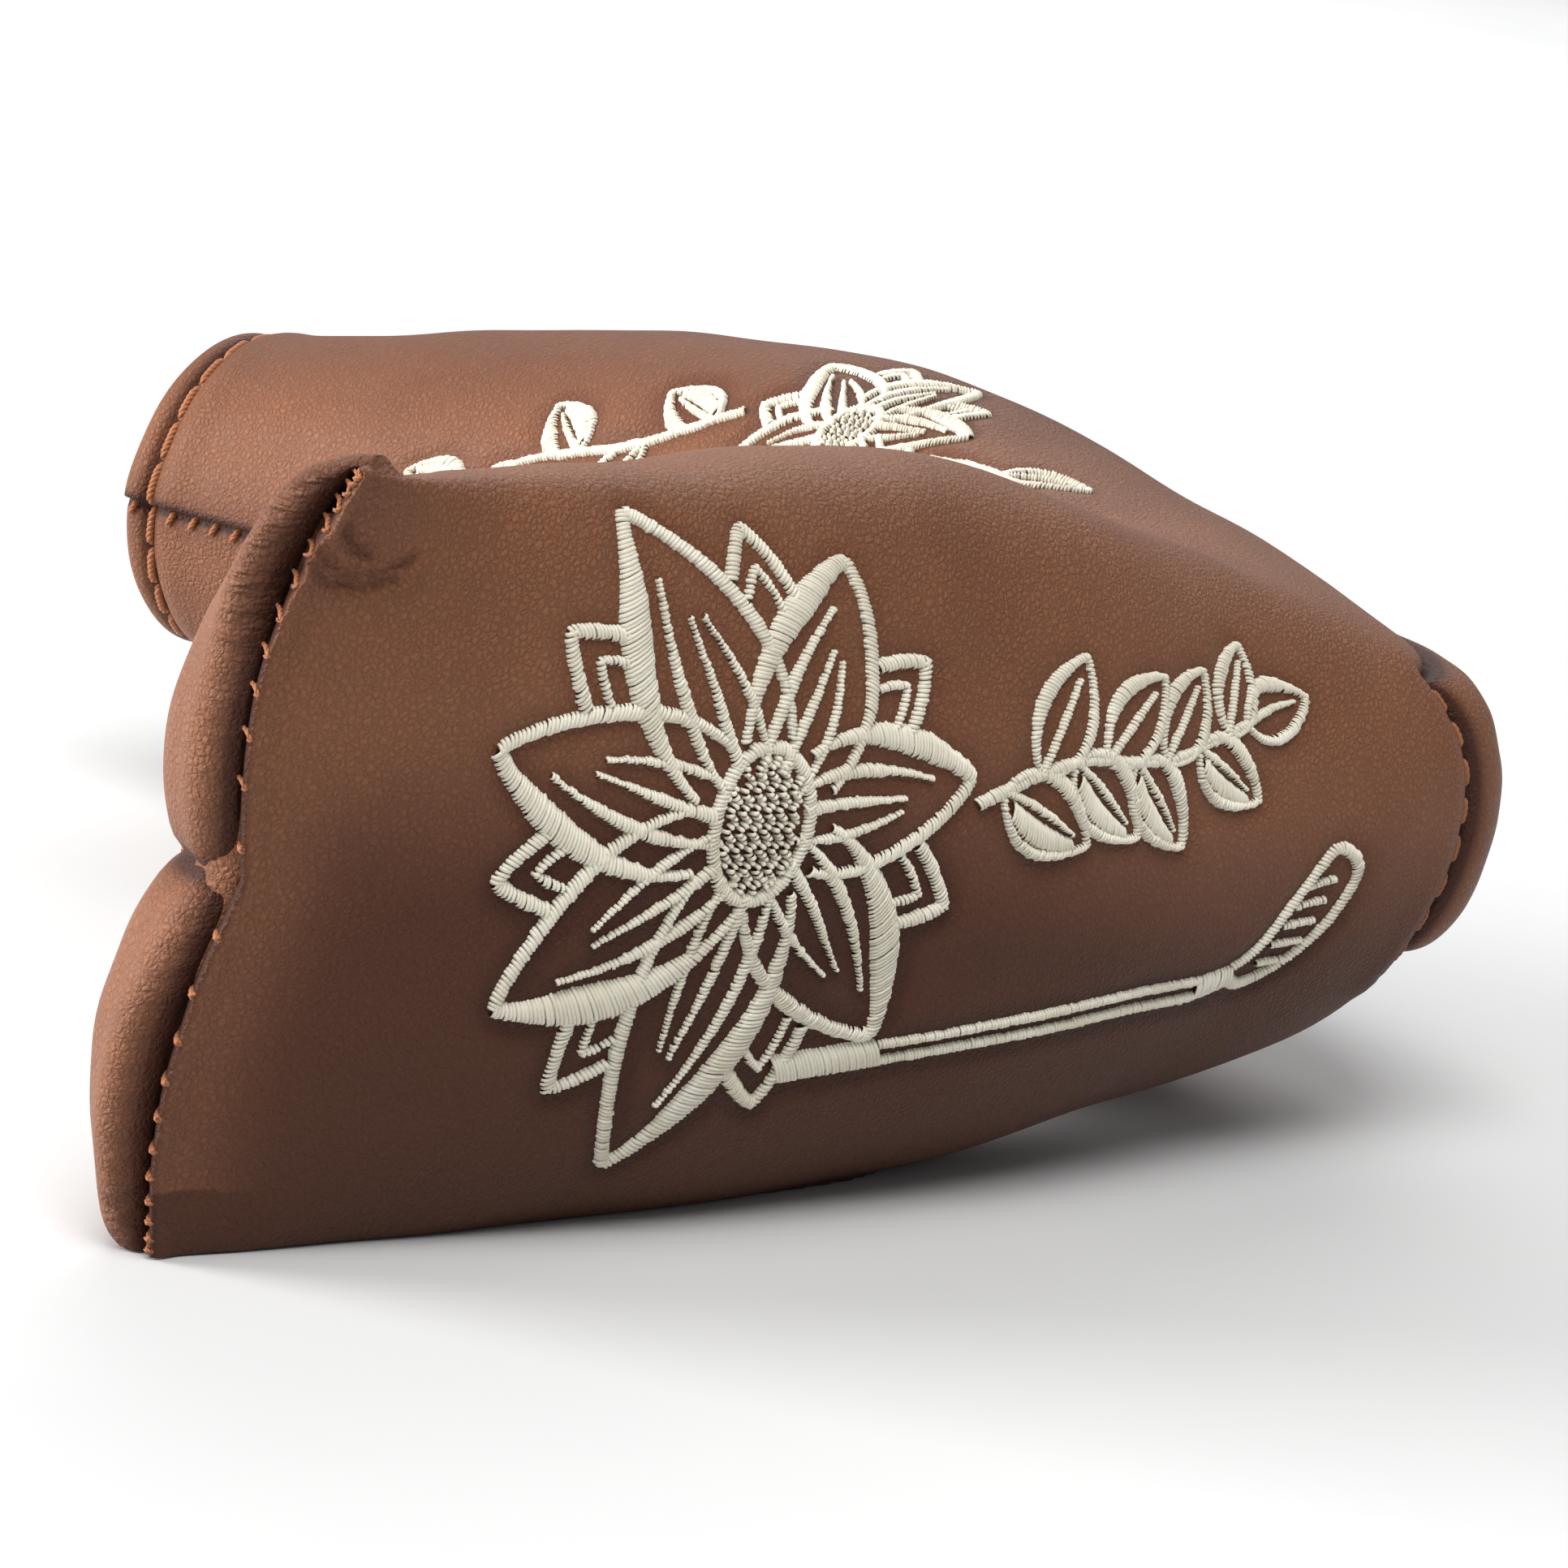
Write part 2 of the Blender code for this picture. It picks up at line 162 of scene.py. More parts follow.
def base(u, angle, depth=0.0):
    """A point of the plain shape: angle 0 is the outer side, 90 the upper side, 180 the inner side."""
    u, angle, depth = same_shape(u, angle, depth)
    qx, qy, px, py, widest, up, down, power = np.moveaxis(along_curve(STATIONS, u), -1, 0)
    above = np.sin(np.radians(angle)) > 0
    half = np.where(above, up, down)
    angle = levelled(u, angle, half, power)
    outer, inner = np.stack([qx, qy], -1), np.stack([px, py], -1)
    span = np.linalg.norm(outer - inner, axis=-1)
    along = (outer - inner) / np.maximum(span, 1e-9)[..., None]
    centre = inner + (outer - inner) * widest[..., None]
    c, s = np.cos(np.radians(angle)), np.sin(np.radians(angle))
    reach = shrunk(np.where(c > 0, span * (1 - widest), span * widest), depth)
    round_c = np.copysign(np.abs(c) ** (2 / power), c) * reach
    flat = centre + along * round_c[..., None]
    z = np.copysign(np.abs(s) ** (2 / power), s) * (half - depth)
    z = np.maximum(z, depth - REST_DEPTH)
    towards_toe = np.clip(flat @ FOOT_DIR / FOOT_LENGTH, 0.0, 1.0)
    lean = z * towards_toe**2 * math.tan(math.radians(TOE_TWIST_DEG))
    lobe = np.sin(math.pi * np.minimum(np.abs(z) / TOE_HALF_WIDTH, 1.0)) * TOE_LOBE
    lobe = lobe * np.maximum((towards_toe - 0.75) / 0.25, 0.0) ** 1.5
    flat = flat - INTO_L * lean[..., None] + FOOT_DIR * lobe[..., None]
    return np.concatenate([flat, z[..., None]], -1)


def unit(v):
    return v / np.maximum(np.linalg.norm(v, axis=-1, keepdims=True), 1e-9)


def outward(u, angle):
    """Unit normal of the plain shape."""
    du, da = 0.02, 1.0
    along = base(u + du, angle) - base(u - du, angle)
    return unit(np.cross(base(u, angle + da) - base(u, angle - da), along))


def placed(points):
    return (points - ORIGIN) / 1000.0


# ======== a flat chart of the leather: S along it from the mouth, W round it from the outer side ========
CHART_U = np.linspace(0, TOE_STATION, 376)
CHART_A = np.linspace(-180, 180, 361)
OUTER_SIDE = 180  # the column of the chart at angle 0
CHART_W = np.linspace(-130, 130, 521)


def make_chart():
    line = base(CHART_U, np.zeros_like(CHART_U))
    w = np.array([distance_along(ring) for ring in base(CHART_U[:, None], CHART_A[None, :])])
    w -= w[:, OUTER_SIDE, None]
    back = np.array([np.interp(CHART_W, row, CHART_A) for row in w])
    return distance_along(line), w, back


CHART_S, CHART_RING, CHART_BACK = make_chart()


def bilinear(table, rows, columns):
    """Values of a table at fractional rows and columns."""
    rows = np.clip(rows, 0, table.shape[0] - 1.001)
    columns = np.clip(columns, 0, table.shape[1] - 1.001)
    i, j = rows.astype(int), columns.astype(int)
    f, g = rows - i, columns - j
    low = table[i, j] * (1 - g) + table[i, j + 1] * g
    high = table[i + 1, j] * (1 - g) + table[i + 1, j + 1] * g
    return low * (1 - f) + high * f


def to_chart(u, angle):
    """(S, W) of a point of the leather."""
    u, angle = same_shape(u, angle)
    turned = (angle + 180.0) % 360.0
    w = bilinear(CHART_RING, u / TOE_STATION * (len(CHART_U) - 1), turned)
    return np.interp(u, CHART_U, CHART_S), w


def from_chart(s, w):
    """(u, angle) of a point of the chart."""
    u = np.interp(s, CHART_S, CHART_U)
    column = (np.asarray(w) - CHART_W[0]) / (CHART_W[1] - CHART_W[0])
    return u, bilinear(CHART_BACK, u / TOE_STATION * (len(CHART_U) - 1), column)


# ======== relief: what sewing and stuffing do to the leather ========
FAR = 99.0  # a distance for what has no edge or seam near it
CREASED = 20.0  # creases lie this near the toe seam


def hump(x, width):
    return np.exp(-((x / width) ** 2))


def smooth(x):
    x = np.clip(x, 0.0, 1.0)
    return x * x * (3 - 2 * x)


def roll(distance, width):
    """How far a rolled edge drops, from 1 at the edge to 0 this far from it."""
    x = np.clip(1 - distance / width, 0.0, 1.0)
    return 1 - np.sqrt(np.maximum(1 - x * x, 0.0))


def waves(p, scale, seed, count=7):
    """Smooth noise from -1 to 1: a few plane waves in set directions."""
    rng = np.random.RandomState(seed)
    total = np.zeros(p.shape[:-1])
    for _ in range(count):
        direction = rng.normal(size=3)
        direction *= rng.uniform(0.6, 1.5) / np.linalg.norm(direction) / scale
        total += np.sin(2 * math.pi * (p @ direction) + rng.uniform(0, 2 * math.pi))
    return total / count**0.5


def slack(p):
    """Loft and slackness of the padding."""
    return 0.22 * waves(p, 34.0, 3) + 0.10 * waves(p, 13.0, 5)


def above(u, angle, lift):
    """A point this far above the padded shape, without its seams."""
    u, angle, lift = same_shape(u, angle, lift)
    p = base(u, signed(angle))
    return p + outward(u, signed(angle)) * (lift + slack(p))[..., None]


def seam_point(z):
    """The toe seam at height z."""
    lobe = TOE_LOBE * np.sin(math.pi * np.minimum(np.abs(z) / TOE_HALF_WIDTH, 1.0))
    lean = z * math.tan(math.radians(TOE_TWIST_DEG))
    flat = FOOT_DIR * (FOOT_LENGTH + lobe)[..., None] - INTO_L * lean[..., None]
    return np.concatenate([flat, z[..., None]], -1)


INTO_SEAM = np.append((INTO_L - FOOT_DIR) / math.sqrt(2), 0.0)


class Place:
    """Where points of the leather are, measured from its seams and edges in millimetres."""

    def __init__(self, u, angle):
        u, angle = same_shape(u, angle)
        angle = signed(angle)
        self.u, self.angle = u, angle
        self.p, self.n = base(u, angle), outward(u, angle)
        self.z = self.p[..., 2]
        self.s, self.w = to_chart(u, angle)
        halfway = np.where(self.w > 0, to_chart(u, 179.999)[1], to_chart(u, -180.0)[1])
        self.from_middle = self.w - halfway  # below zero on the upper side of the middle seam
        self.inner_side = np.abs(angle) > 90
        self.from_mouth = NECK_LENGTH - self.p[..., 0]
        self.from_slot, self.from_heel = edge_distances(u, self.s, self.w)
        seam = seam_point(np.clip(self.z, -TOE_HALF_WIDTH, TOE_HALF_WIDTH))
        self.from_toe_seam = np.where(u > 11, np.linalg.norm(self.p - seam, axis=-1), FAR)
        self.from_creases = [line_distance(self.s, self.w, line) for line in CREASES]
        self.ear = smooth((self.z - 18.0) / 12.0)
        self.lapped = 1 - smooth((u - 7.5) / 2.0)


def leather(u, angle, lift=0.0, embroidered=True):
    """A point of the finished leather, this far above it."""
    u, angle, lift = same_shape(u, angle, lift)
    at = Place(u, angle)
    p, n, z, ear, reach = at.p, at.n, at.z, at.ear, at.from_toe_seam
    rise = np.zeros_like(u)

    # hem of the mouth, and the groove that its stitches pull in
    hem, mouth = (u < 1.2) * 1.0, at.from_mouth
    rise -= hem * 1.5 * roll(mouth, 1.8)
    rise += hem * 0.45 * hump(mouth - 0.5 * HEM_WIDTH, 1.5)
    rise -= hem * 1.05 * hump(mouth - HEM_WIDTH, 0.75)
    rise += hem * 0.35 * hump(mouth - HEM_WIDTH - 3.0, 2.2)
    rise -= hem * 0.3 * (1 - smooth(mouth / 9.0))

    # seam along the middle: lapped on the neck, a groove between two lobes at the toe
    upper = at.from_middle < 0
    lap = np.where(upper, 0.75 * hump(at.from_middle, 5.0), -0.35 * hump(at.from_middle, 0.9))
    rise += at.inner_side * at.lapped * lap
    cleft = 1.5 * roll(np.abs(at.from_middle), 3.2) + 0.9 * hump(at.from_middle, 6.0)
    rise -= at.inner_side * (1 - at.lapped) * cleft

    # edges of the slot and of the heel opening
    rise -= 1.1 * roll(at.from_slot, 1.6) + 1.5 * roll(at.from_heel, 2.6)
    rise += 0.5 * (u > HEEL_SEAM) * hump(at.from_heel - 3.4, 2.4)

    rise += slack(p)
    if embroidered:
        rise -= 0.55 * sewn(at.s, at.w)

    # the toe seam, deeper and bent over at its upper end, where the strip makes a hood
    low_end = smooth((-z - 4.0) / 10.0)
    depth = 2.8 + 2.9 * ear + 1.3 * low_end
    drop = depth * roll(reach, np.where(at.inner_side, 4.2 + 1.0 * ear + 0.4 * low_end, 1.05 + 0.35 * ear))
    rise += at.inner_side * (0.8 + 0.9 * ear + 0.3 * low_end) * hump(reach - 4.6, 2.3)
    rise += ~at.inner_side * (0.45 + 0.25 * ear) * hump(reach - 1.9, 1.5)
    pull = np.sin(2 * math.pi * z / STITCH_PITCH) * hump(reach - 2.2, 1.6) * smooth((FAR - reach) / 50.0)
    rise += 0.09 * pull * np.where(at.inner_side, 1.0, 0.5)
    for crease in at.from_creases:
        rise -= 0.5 * hump(crease, 0.55) * (at.from_toe_seam < CREASED)
        rise += 0.16 * hump(crease - 1.4, 0.9) * (at.from_toe_seam < CREASED)
    rise = np.where(z < -REST_DEPTH + 0.02, 0.05 * rise, rise)
    p = p + n * (rise + lift)[..., None] + INTO_SEAM * drop[..., None]
    bend = 2.8 * np.clip((z - 26.0) / 11.0, 0, 1.1) ** 1.5 * hump(reach, 16.0)
    p[..., :2] -= INTO_L * bend[..., None]
    p[..., 2] += 1.3 * hump(reach, 7.0) * smooth((z - 24.0) / 12.0)
    p[..., 2] = np.maximum(p[..., 2], -REST_DEPTH)
    return p


def shade_and_folds_of(u, angle):
    """How much painted shade the leather has, and how wrinkled and cracked it is, from 0 to 1, for its
    material to read.
    """
    at = Place(u, angle)
    # painted shade: darker in the toe seam's recess, the hem's groove and the middle seam, at the edges of
    # the slot and the heel opening, among the embroidery and in the creases
    recess = np.where(at.inner_side, 2.2 + 0.3 * at.ear, 0.8)
    dark = 0.95 * hump(at.from_toe_seam, recess)
    dark = dark + (at.u < 1.2) * 0.7 * hump(at.from_mouth - HEM_WIDTH, 0.8)
    dark = dark + at.inner_side * (0.75 * hump(at.from_middle, 0.8) + 0.2 * hump(at.from_middle, 4.0))
    dark = dark + 0.8 * hump(at.from_slot, 1.2) + 0.9 * hump(at.from_heel, 1.3) + 0.25 * sewn(at.s, at.w)
    crease = np.min(at.from_creases, axis=0) + FAR * (at.from_toe_seam > CREASED)
    dark = dark + 0.24 * hump(crease, 0.4)
    # painted shade: darker on the lower half of the sole, less so beside the toe seam, along the top of the
    # neck near the mouth, and a little all round the collar
    shade_top = 4.0 + 14.0 * smooth((at.u - 6.5) / 3.5)
    low_part = smooth((shade_top - at.z) / 22.0)
    low_part = low_part * (1 - 0.8 * hump(at.from_toe_seam - 2.0, 6.0) * (at.z > -30))
    dark = dark + 0.50 * ~at.inner_side * low_part * smooth((at.u - 4.5) / 1.5)
    neck_top = smooth((152.0 - at.angle) / 44.0) * smooth((at.angle - 20.0) / 30.0)
    dark = dark + (0.04 + 0.27 * neck_top) * (1 - smooth((at.u - 2.5) / 3.0))
    corner = np.maximum(at.ear, smooth((-at.z - 27.0) / 6.0))
    wrinkled = at.inner_side * corner * hump(at.from_toe_seam - 3.0, 3.2)
    wrinkled = wrinkled + 0.3 * at.inner_side * hump(at.from_toe_seam - 2.5, 2.0)
    cracked = 0.22 * hump(crease, 1.6) + 0.16 * hump(at.from_toe_seam - 3.0, 6.0) * ~at.inner_side
    values = {"painted_shade": dark, "wrinkled": wrinkled, "cracked": cracked}
    return {name: np.clip(value, 0, 1) for name, value in values.items()}


def sunk(u, angle):
    """How much deeper the inside layers lie under the groove between the toe's lobes."""
    at = Place(u, angle)
    before_toe = 1 - smooth((at.u - 12.6) / 0.8)
    return 2.6 * at.inner_side * (1 - at.lapped) * hump(at.from_middle, 7.0) * before_toe


def edge_distances(u, s, w):
    """Distances from the edges of the slot and of the heel opening."""
    w_low, w_high = to_chart(u, SLOT[0])[1], to_chart(u, SLOT[1])[1]
    s_end = np.interp(SLOT_END, CHART_U, CHART_S)
    beyond = np.maximum(s - s_end, 0)
    across = np.maximum(np.maximum(w_low - w, w - w_high), 0)
    slot = np.hypot(beyond, across)
    h_low, h_high = to_chart(u, HEEL[0])[1], to_chart(u, HEEL[1])[1]
    h_start, h_end = np.interp([HEEL_START, HEEL_SEAM], CHART_U, CHART_S)
    beside = np.maximum(np.maximum(h_start - s, s - h_end), 0)
    across = np.maximum(np.maximum(h_low - w, w - h_high), 0)
    heel = np.hypot(beside, across)
    return slot, heel


# creases of the main leather below the ear, as lines on the chart
CREASES = (
    ((337.8, 33.0), (335.0, 30.6), (331.5, 29.0), (328.5, 29.2), (325.5, 30.4)),
    ((336.6, 30.3), (333.0, 28.3), (329.5, 28.0), (326.5, 28.6)),
    ((334.2, 33.2), (332.0, 31.4), (330.0, 30.6)),
)


def line_distance(s, w, line):
    """Distance on the chart from a line of several straight parts."""
    nearest = np.full(np.shape(s), FAR)
    for (s0, w0), (s1, w1) in zip(line, line[1:]):
        ds, dw = s1 - s0, w1 - w0
        share = np.clip(((s - s0) * ds + (w - w0) * dw) / (ds * ds + dw * dw), 0, 1)
        nearest = np.minimum(nearest, np.hypot(s - s0 - share * ds, w - w0 - share * dw))
    return nearest


# a map on the chart of where thread is sewn: the size of a cell, its lowest corner and its cells each way
SEWN_CELL = 0.4
SEWN_LOW = (0.0, -130.0)
SEWN_SIZE = (900, 650)
sewn_map = np.zeros(SEWN_SIZE)


def sewn(s, w):
    """How close thread is sewn on the leather, from 0 to 1."""
    return bilinear(sewn_map, (s - SEWN_LOW[0]) / SEWN_CELL, (w - SEWN_LOW[1]) / SEWN_CELL)


def mark_sewn(strands, spread=1.0):
    """Adds embroidery to the map: cells under thread, blurred by this many millimetres."""
    cells = np.zeros(SEWN_SIZE)
    for f in np.linspace(-1, 1, 9):
        at = strands["at"] + strands["across"] * f
        i = ((at[:, 0] - SEWN_LOW[0]) / SEWN_CELL).astype(int)
        j = ((at[:, 1] - SEWN_LOW[1]) / SEWN_CELL).astype(int)
        cells[np.clip(i, 0, SEWN_SIZE[0] - 1), np.clip(j, 0, SEWN_SIZE[1] - 1)] = 1
    wave = [np.fft.fftfreq(n, SEWN_CELL) for n in SEWN_SIZE]
    blur = np.exp(-2 * (math.pi * spread) ** 2 * (wave[0][:, None] ** 2 + wave[1][None, :] ** 2))
    blurred = np.real(np.fft.ifft2(np.fft.fft2(cells) * blur))
    np.maximum(sewn_map, 1 - np.exp(-2.6 * np.clip(blurred, 0, 1)), out=sewn_map)


# ======== making objects ========
def new_mesh(name, points, faces, material, sharp_deg=None):
    """A mesh object from points in millimetres. faces is a list of arrays or lists of corner indices."""
    mesh = bpy.data.meshes.new(name)
    mesh.from_pydata(placed(np.asarray(points)).tolist(), [], faces)
    mesh.validate()
    mesh.materials.append(material)
    mesh.shade_smooth()
    if sharp_deg:
        mesh.set_sharp_from_angle(angle=math.radians(sharp_deg))
    obj = bpy.data.objects.new(name, mesh)
    bpy.context.scene.collection.objects.link(obj)
    return obj


def stand_for(piece, body, nodes):
    """Puts a piece on its body in place of these CAD nodes, which it hides."""
    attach(piece, body)
    if nodes:
        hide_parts(*nodes)


def grid_faces(rows, columns, closed=False, flip=False, start=0):
    """Quads of a grid of points whose index is start + row * columns + column."""
    i, j = np.meshgrid(np.arange(rows - 1), np.arange(columns if closed else columns - 1), indexing="ij")
    k = (j + 1) % columns
    quads = np.stack([i * columns + j, i * columns + k, (i + 1) * columns + k, (i + 1) * columns + j], -1)
    quads = quads.reshape(-1, 4) + start
    return quads[:, ::-1] if flip else quads


def closed_sheet(name, top, bottom, material, sharp_deg=None):
    """A sheet between two grids of points, with walls along its four edges."""
    rows, columns = top.shape[:2]
    n = rows * columns
    points = np.concatenate([top.reshape(-1, 3), bottom.reshape(-1, 3)])
    faces = [grid_faces(rows, columns), grid_faces(rows, columns, flip=True, start=n)]
    edge = [j for j in range(columns)]
    edge += [i * columns + columns - 1 for i in range(1, rows)]
    edge += [(rows - 1) * columns + j for j in range(columns - 2, -1, -1)]
    edge += [i * columns for i in range(rows - 2, 0, -1)]
    edge = np.array(edge)
    after = np.roll(edge, -1)
    faces.append(np.stack([after, edge, edge + n, after + n], -1))
    return new_mesh(name, points, np.concatenate(faces).tolist(), material, sharp_deg)


# ======== the leather shell ========
COARSE = 3  # cells of the outer face for each cell of the inner face, both ways
COLUMNS = 360
# rows of the outer face: from one station, to another, how many
SPANS = ((0, 0.2, 15), (0.2, SLOT_END, 99), (SLOT_END, HEEL_START, 15), (HEEL_START, HEEL_SEAM, 51),
         (HEEL_SEAM, 12, 120), (12, 14, 21), (14, TOE_STATION, 12))
# stations of the outer face, and the inner face's under them, which ends short of the toe seam
INNER_ENDS = ([0, 12, 12.5, 13, 13.5, 14, 14.6, TOE_STATION], [0, 12, 12.5, 12.6, 12.7, 12.8, 12.9, 13])


def shell_rows():
    rows = [np.linspace(a, b, count, endpoint=False) for a, b, count in SPANS]
    return np.append(np.concatenate(rows), TOE_STATION)


def in_opening(u, angle):
    """True where the middle of a cell lies in the slot or the heel opening."""
    angle = signed(angle)
    slot = (u < SLOT_END) & (angle > SLOT[0]) & (angle < SLOT[1])
    heel = (u > HEEL_START) & (u < HEEL_SEAM) & (angle > HEEL[0]) & (angle < HEEL[1])
    return slot | heel


def outer_points(rows, angles):
    """The outer face's point numbers. On the last ring, which is closed, each point is one with its twin."""
    index = np.arange(rows * COLUMNS).reshape(rows, COLUMNS)
    for k in range(COLUMNS):
        if abs(signed(angles[k])) > 90:
            index[-1, k] = index[-1, (COLUMNS // 2 - k) % COLUMNS]
    return index


def outer_faces(index, hole):
    """Cells of the outer face. Those at the ends of the toe seam are split so that no diagonal is shared."""
    seam_ends = (COLUMNS // 4, 3 * COLUMNS // 4)
    faces = []
    for i, j in zip(*np.nonzero(~hole)):
        k = (j + 1) % COLUMNS
        ring = [index[i, j], index[i, k], index[i + 1, k], index[i + 1, j]]
        last = i == len(index) - 2
        if last and k in seam_ends:
            faces += [[ring[0], ring[1], ring[2]], [ring[0], ring[2], ring[3]]]
        elif last and j in seam_ends:
            faces += [[ring[1], ring[2], ring[3]], [ring[0], ring[1], ring[3]]]
        else:
            faces.append(ring)
    return faces


def inner_face(u, a):
    """Points of the inner face, deeper where the leather is turned in at the slot and the mouth."""
    deep_u = np.interp(u, *INNER_ENDS)
    s, w = to_chart(u[:, None], a[None, :])
    from_slot = edge_distances(u[:, None], s, w)[0]
    from_mouth = NECK_LENGTH - base(u, 0.0)[:, :1]
    folded = np.maximum(1 - smooth((from_slot - 0.2) / 1.2), 1 - smooth((from_mouth - 9.0) / 3.0))
    plain = LEATHER_THICK + 0.4
    thick = plain + (EDGE_THICK - plain) * folded
    thick = np.where(deep_u[:, None] > 11, LEATHER_THICK + 1.6, thick)
    return base(deep_u[:, None], a[None, :], thick + sunk(deep_u[:, None], a[None, :]))


def opening_walls(index, deep, empty):
    """Walls of the openings. Each joins one coarse cell of the inner face to the fine points over it."""
    few = deep.shape[1]
    gone = lambda i, j: i < 0 or (i < len(deep) - 1 and empty[i, j % few])
    faces = []
    for i, j in zip(*np.nonzero(~empty)):
        k, at, to = (j + 1) % few, COARSE * i, COARSE * i + COARSE
        left, right = COARSE * j, COARSE * j + COARSE
        if gone(i - 1, j):
            fine = [index[at, c % COLUMNS] for c in range(left, right + 1)]
            faces.append([*fine[::-1], deep[i, j], deep[i, k]])
        if gone(i + 1, j):
            fine = [index[to, c % COLUMNS] for c in range(left, right + 1)]
            faces.append([*fine, deep[i + 1, k], deep[i + 1, j]])
        if gone(i, j - 1):
            fine = [index[r, left % COLUMNS] for r in range(at, to + 1)]
            faces.append([*fine, deep[i + 1, j], deep[i, j]])
        if gone(i, j + 1):
            fine = [index[r, right % COLUMNS] for r in range(at, to + 1)]
            faces.append([*fine[::-1], deep[i, k], deep[i + 1, k]])
    return faces


def make_shell(material):
    """The main leather: a fine outer face, a coarse inner one, and walls round the mouth, slot and heel."""
    u, a = shell_rows(), np.arange(COLUMNS) * 360.0 / COLUMNS
    outer = leather(u[:, None], a[None, :])
    index = outer_points(len(u), a)
    hole = in_opening(((u[:-1] + u[1:]) / 2)[:, None], (a + 180.0 / COLUMNS)[None, :])
    faces = outer_faces(index, hole)

    empty = hole[::COARSE, ::COARSE]
    inner = inner_face(u[::COARSE], a[::COARSE])
    rows, few = inner.shape[:2]
    deep = len(u) * COLUMNS + np.arange(rows * few).reshape(rows, few)
    for i, j in zip(*np.nonzero(~empty)):
        k = (j + 1) % few
        faces.append([deep[i, j], deep[i + 1, j], deep[i + 1, k], deep[i, k]])
    faces += opening_walls(index, deep, empty)
    points = np.concatenate([outer.reshape(-1, 3), inner.reshape(-1, 3), inner[-1].mean(0)[None]])
    faces += [[deep[-1, j], len(points) - 1, deep[-1, (j + 1) % few]] for j in range(few)]

    shade_and_folds = shade_and_folds_of(u[:, None], a[None, :])
    looks = np.zeros((len(points), len(shade_and_folds)))
    for k, values in enumerate(shade_and_folds.values()):
        looks[: values.size, k] = values.ravel()
    points, faces, looks = without_loose(points, faces, looks)
    obj = new_mesh("leather_shell", points, faces, material)
    for k, name in enumerate(shade_and_folds):
        paint(obj, name, looks[:, k])
    return obj


def without_loose(points, faces, values):
    """The same points, faces and values at points, without the points that no face uses."""
    used = np.unique(np.concatenate([np.asarray(f) for f in faces]))
    where = np.full(len(points), -1)
    where[used] = np.arange(len(used))
    return points[used], [[int(where[v]) for v in f] for f in faces], values[used]


def paint(obj, name, values):
    """Stores a number at each point, for the material to read."""
    layer = obj.data.attributes.new(name, "FLOAT", "POINT")
    layer.data.foreach_set("value", np.asarray(values, np.float32))


# ======== thread: satin columns, knots and stitches ========
# where a strand's points lie across it, closer where it bends down into the leather
STRAND_STEPS = np.array([-1.0, -0.72, -0.3, 0.3, 0.72, 1.0])
random = np.random.RandomState(7)


def evenly(points, step):
    """Points this far apart along a line through these, with their distance along it from 0 to 1."""
    points = np.asarray(points, float)
    lengths = distance_along(points)
    count = max(int(lengths[-1] / step), 2)
    at = np.linspace(0, lengths[-1], count)
    return np.stack([np.interp(at, lengths, points[:, k]) for k in (0, 1)], -1), at / lengths[-1]


def curve(points, count=40):
    """A smooth line through a few points."""
    points = np.asarray(points, float)
    last = len(points) - 1
    return along_curve(points, np.linspace(0, last - 1e-9, count * last))


def satin(line, width, slant_deg=SLANT_DEG, crown=0.5, pitch=STRAND_PITCH):
    """Strands laid side by side across a line. width is a number or a function of 0 to 1 along it."""
    at, t = evenly(line, pitch)
    along = np.gradient(at, axis=0)
    along /= np.maximum(np.linalg.norm(along, axis=1, keepdims=True), 1e-9)
    tilt = math.radians(90.0 + slant_deg)
    across = np.stack([along[:, 0] * math.cos(tilt) - along[:, 1] * math.sin(tilt),
                       along[:, 0] * math.sin(tilt) + along[:, 1] * math.cos(tilt)], -1)
    wide = width(t) if callable(width) else np.full(len(t), float(width))
    half = wide / 2 / math.cos(math.radians(slant_deg)) + random.normal(0, 0.05, len(t))
    half = np.maximum(half, 0.25)
    at = at + random.normal(0, 0.03, at.shape)
    return {"at": at, "across": across * half[:, None], "crown": np.minimum(crown * (0.7 + 0.18 * wide), 1.1)}


def tapered(first, middle, last, peak=0.5):
    """A width that grows to the peak and falls again."""
    return lambda t: np.where(t < peak, first + (middle - first) * smooth(t / peak),
                              middle + (last - middle) * smooth((t - peak) / (1 - peak)))


def joined(parts):
    return {key: np.concatenate([part[key] for part in parts]) for key in parts[0]}


def moved(strands, s, w, turn_deg=0.0, size=1.0, mirror=1.0):
    """A drawing (x towards the heel, y up) put on the chart at (s, w)."""
    c, n = math.cos(math.radians(turn_deg)) * size, math.sin(math.radians(turn_deg)) * size
    spin = np.array([[c, n * mirror], [-n, c * mirror]])
    at, across = strands["at"] @ spin, strands["across"] @ spin
    flip = np.array([-1.0, 1.0])
    return {"at": at * flip + (s, w), "across": across * flip, "crown": strands["crown"]}


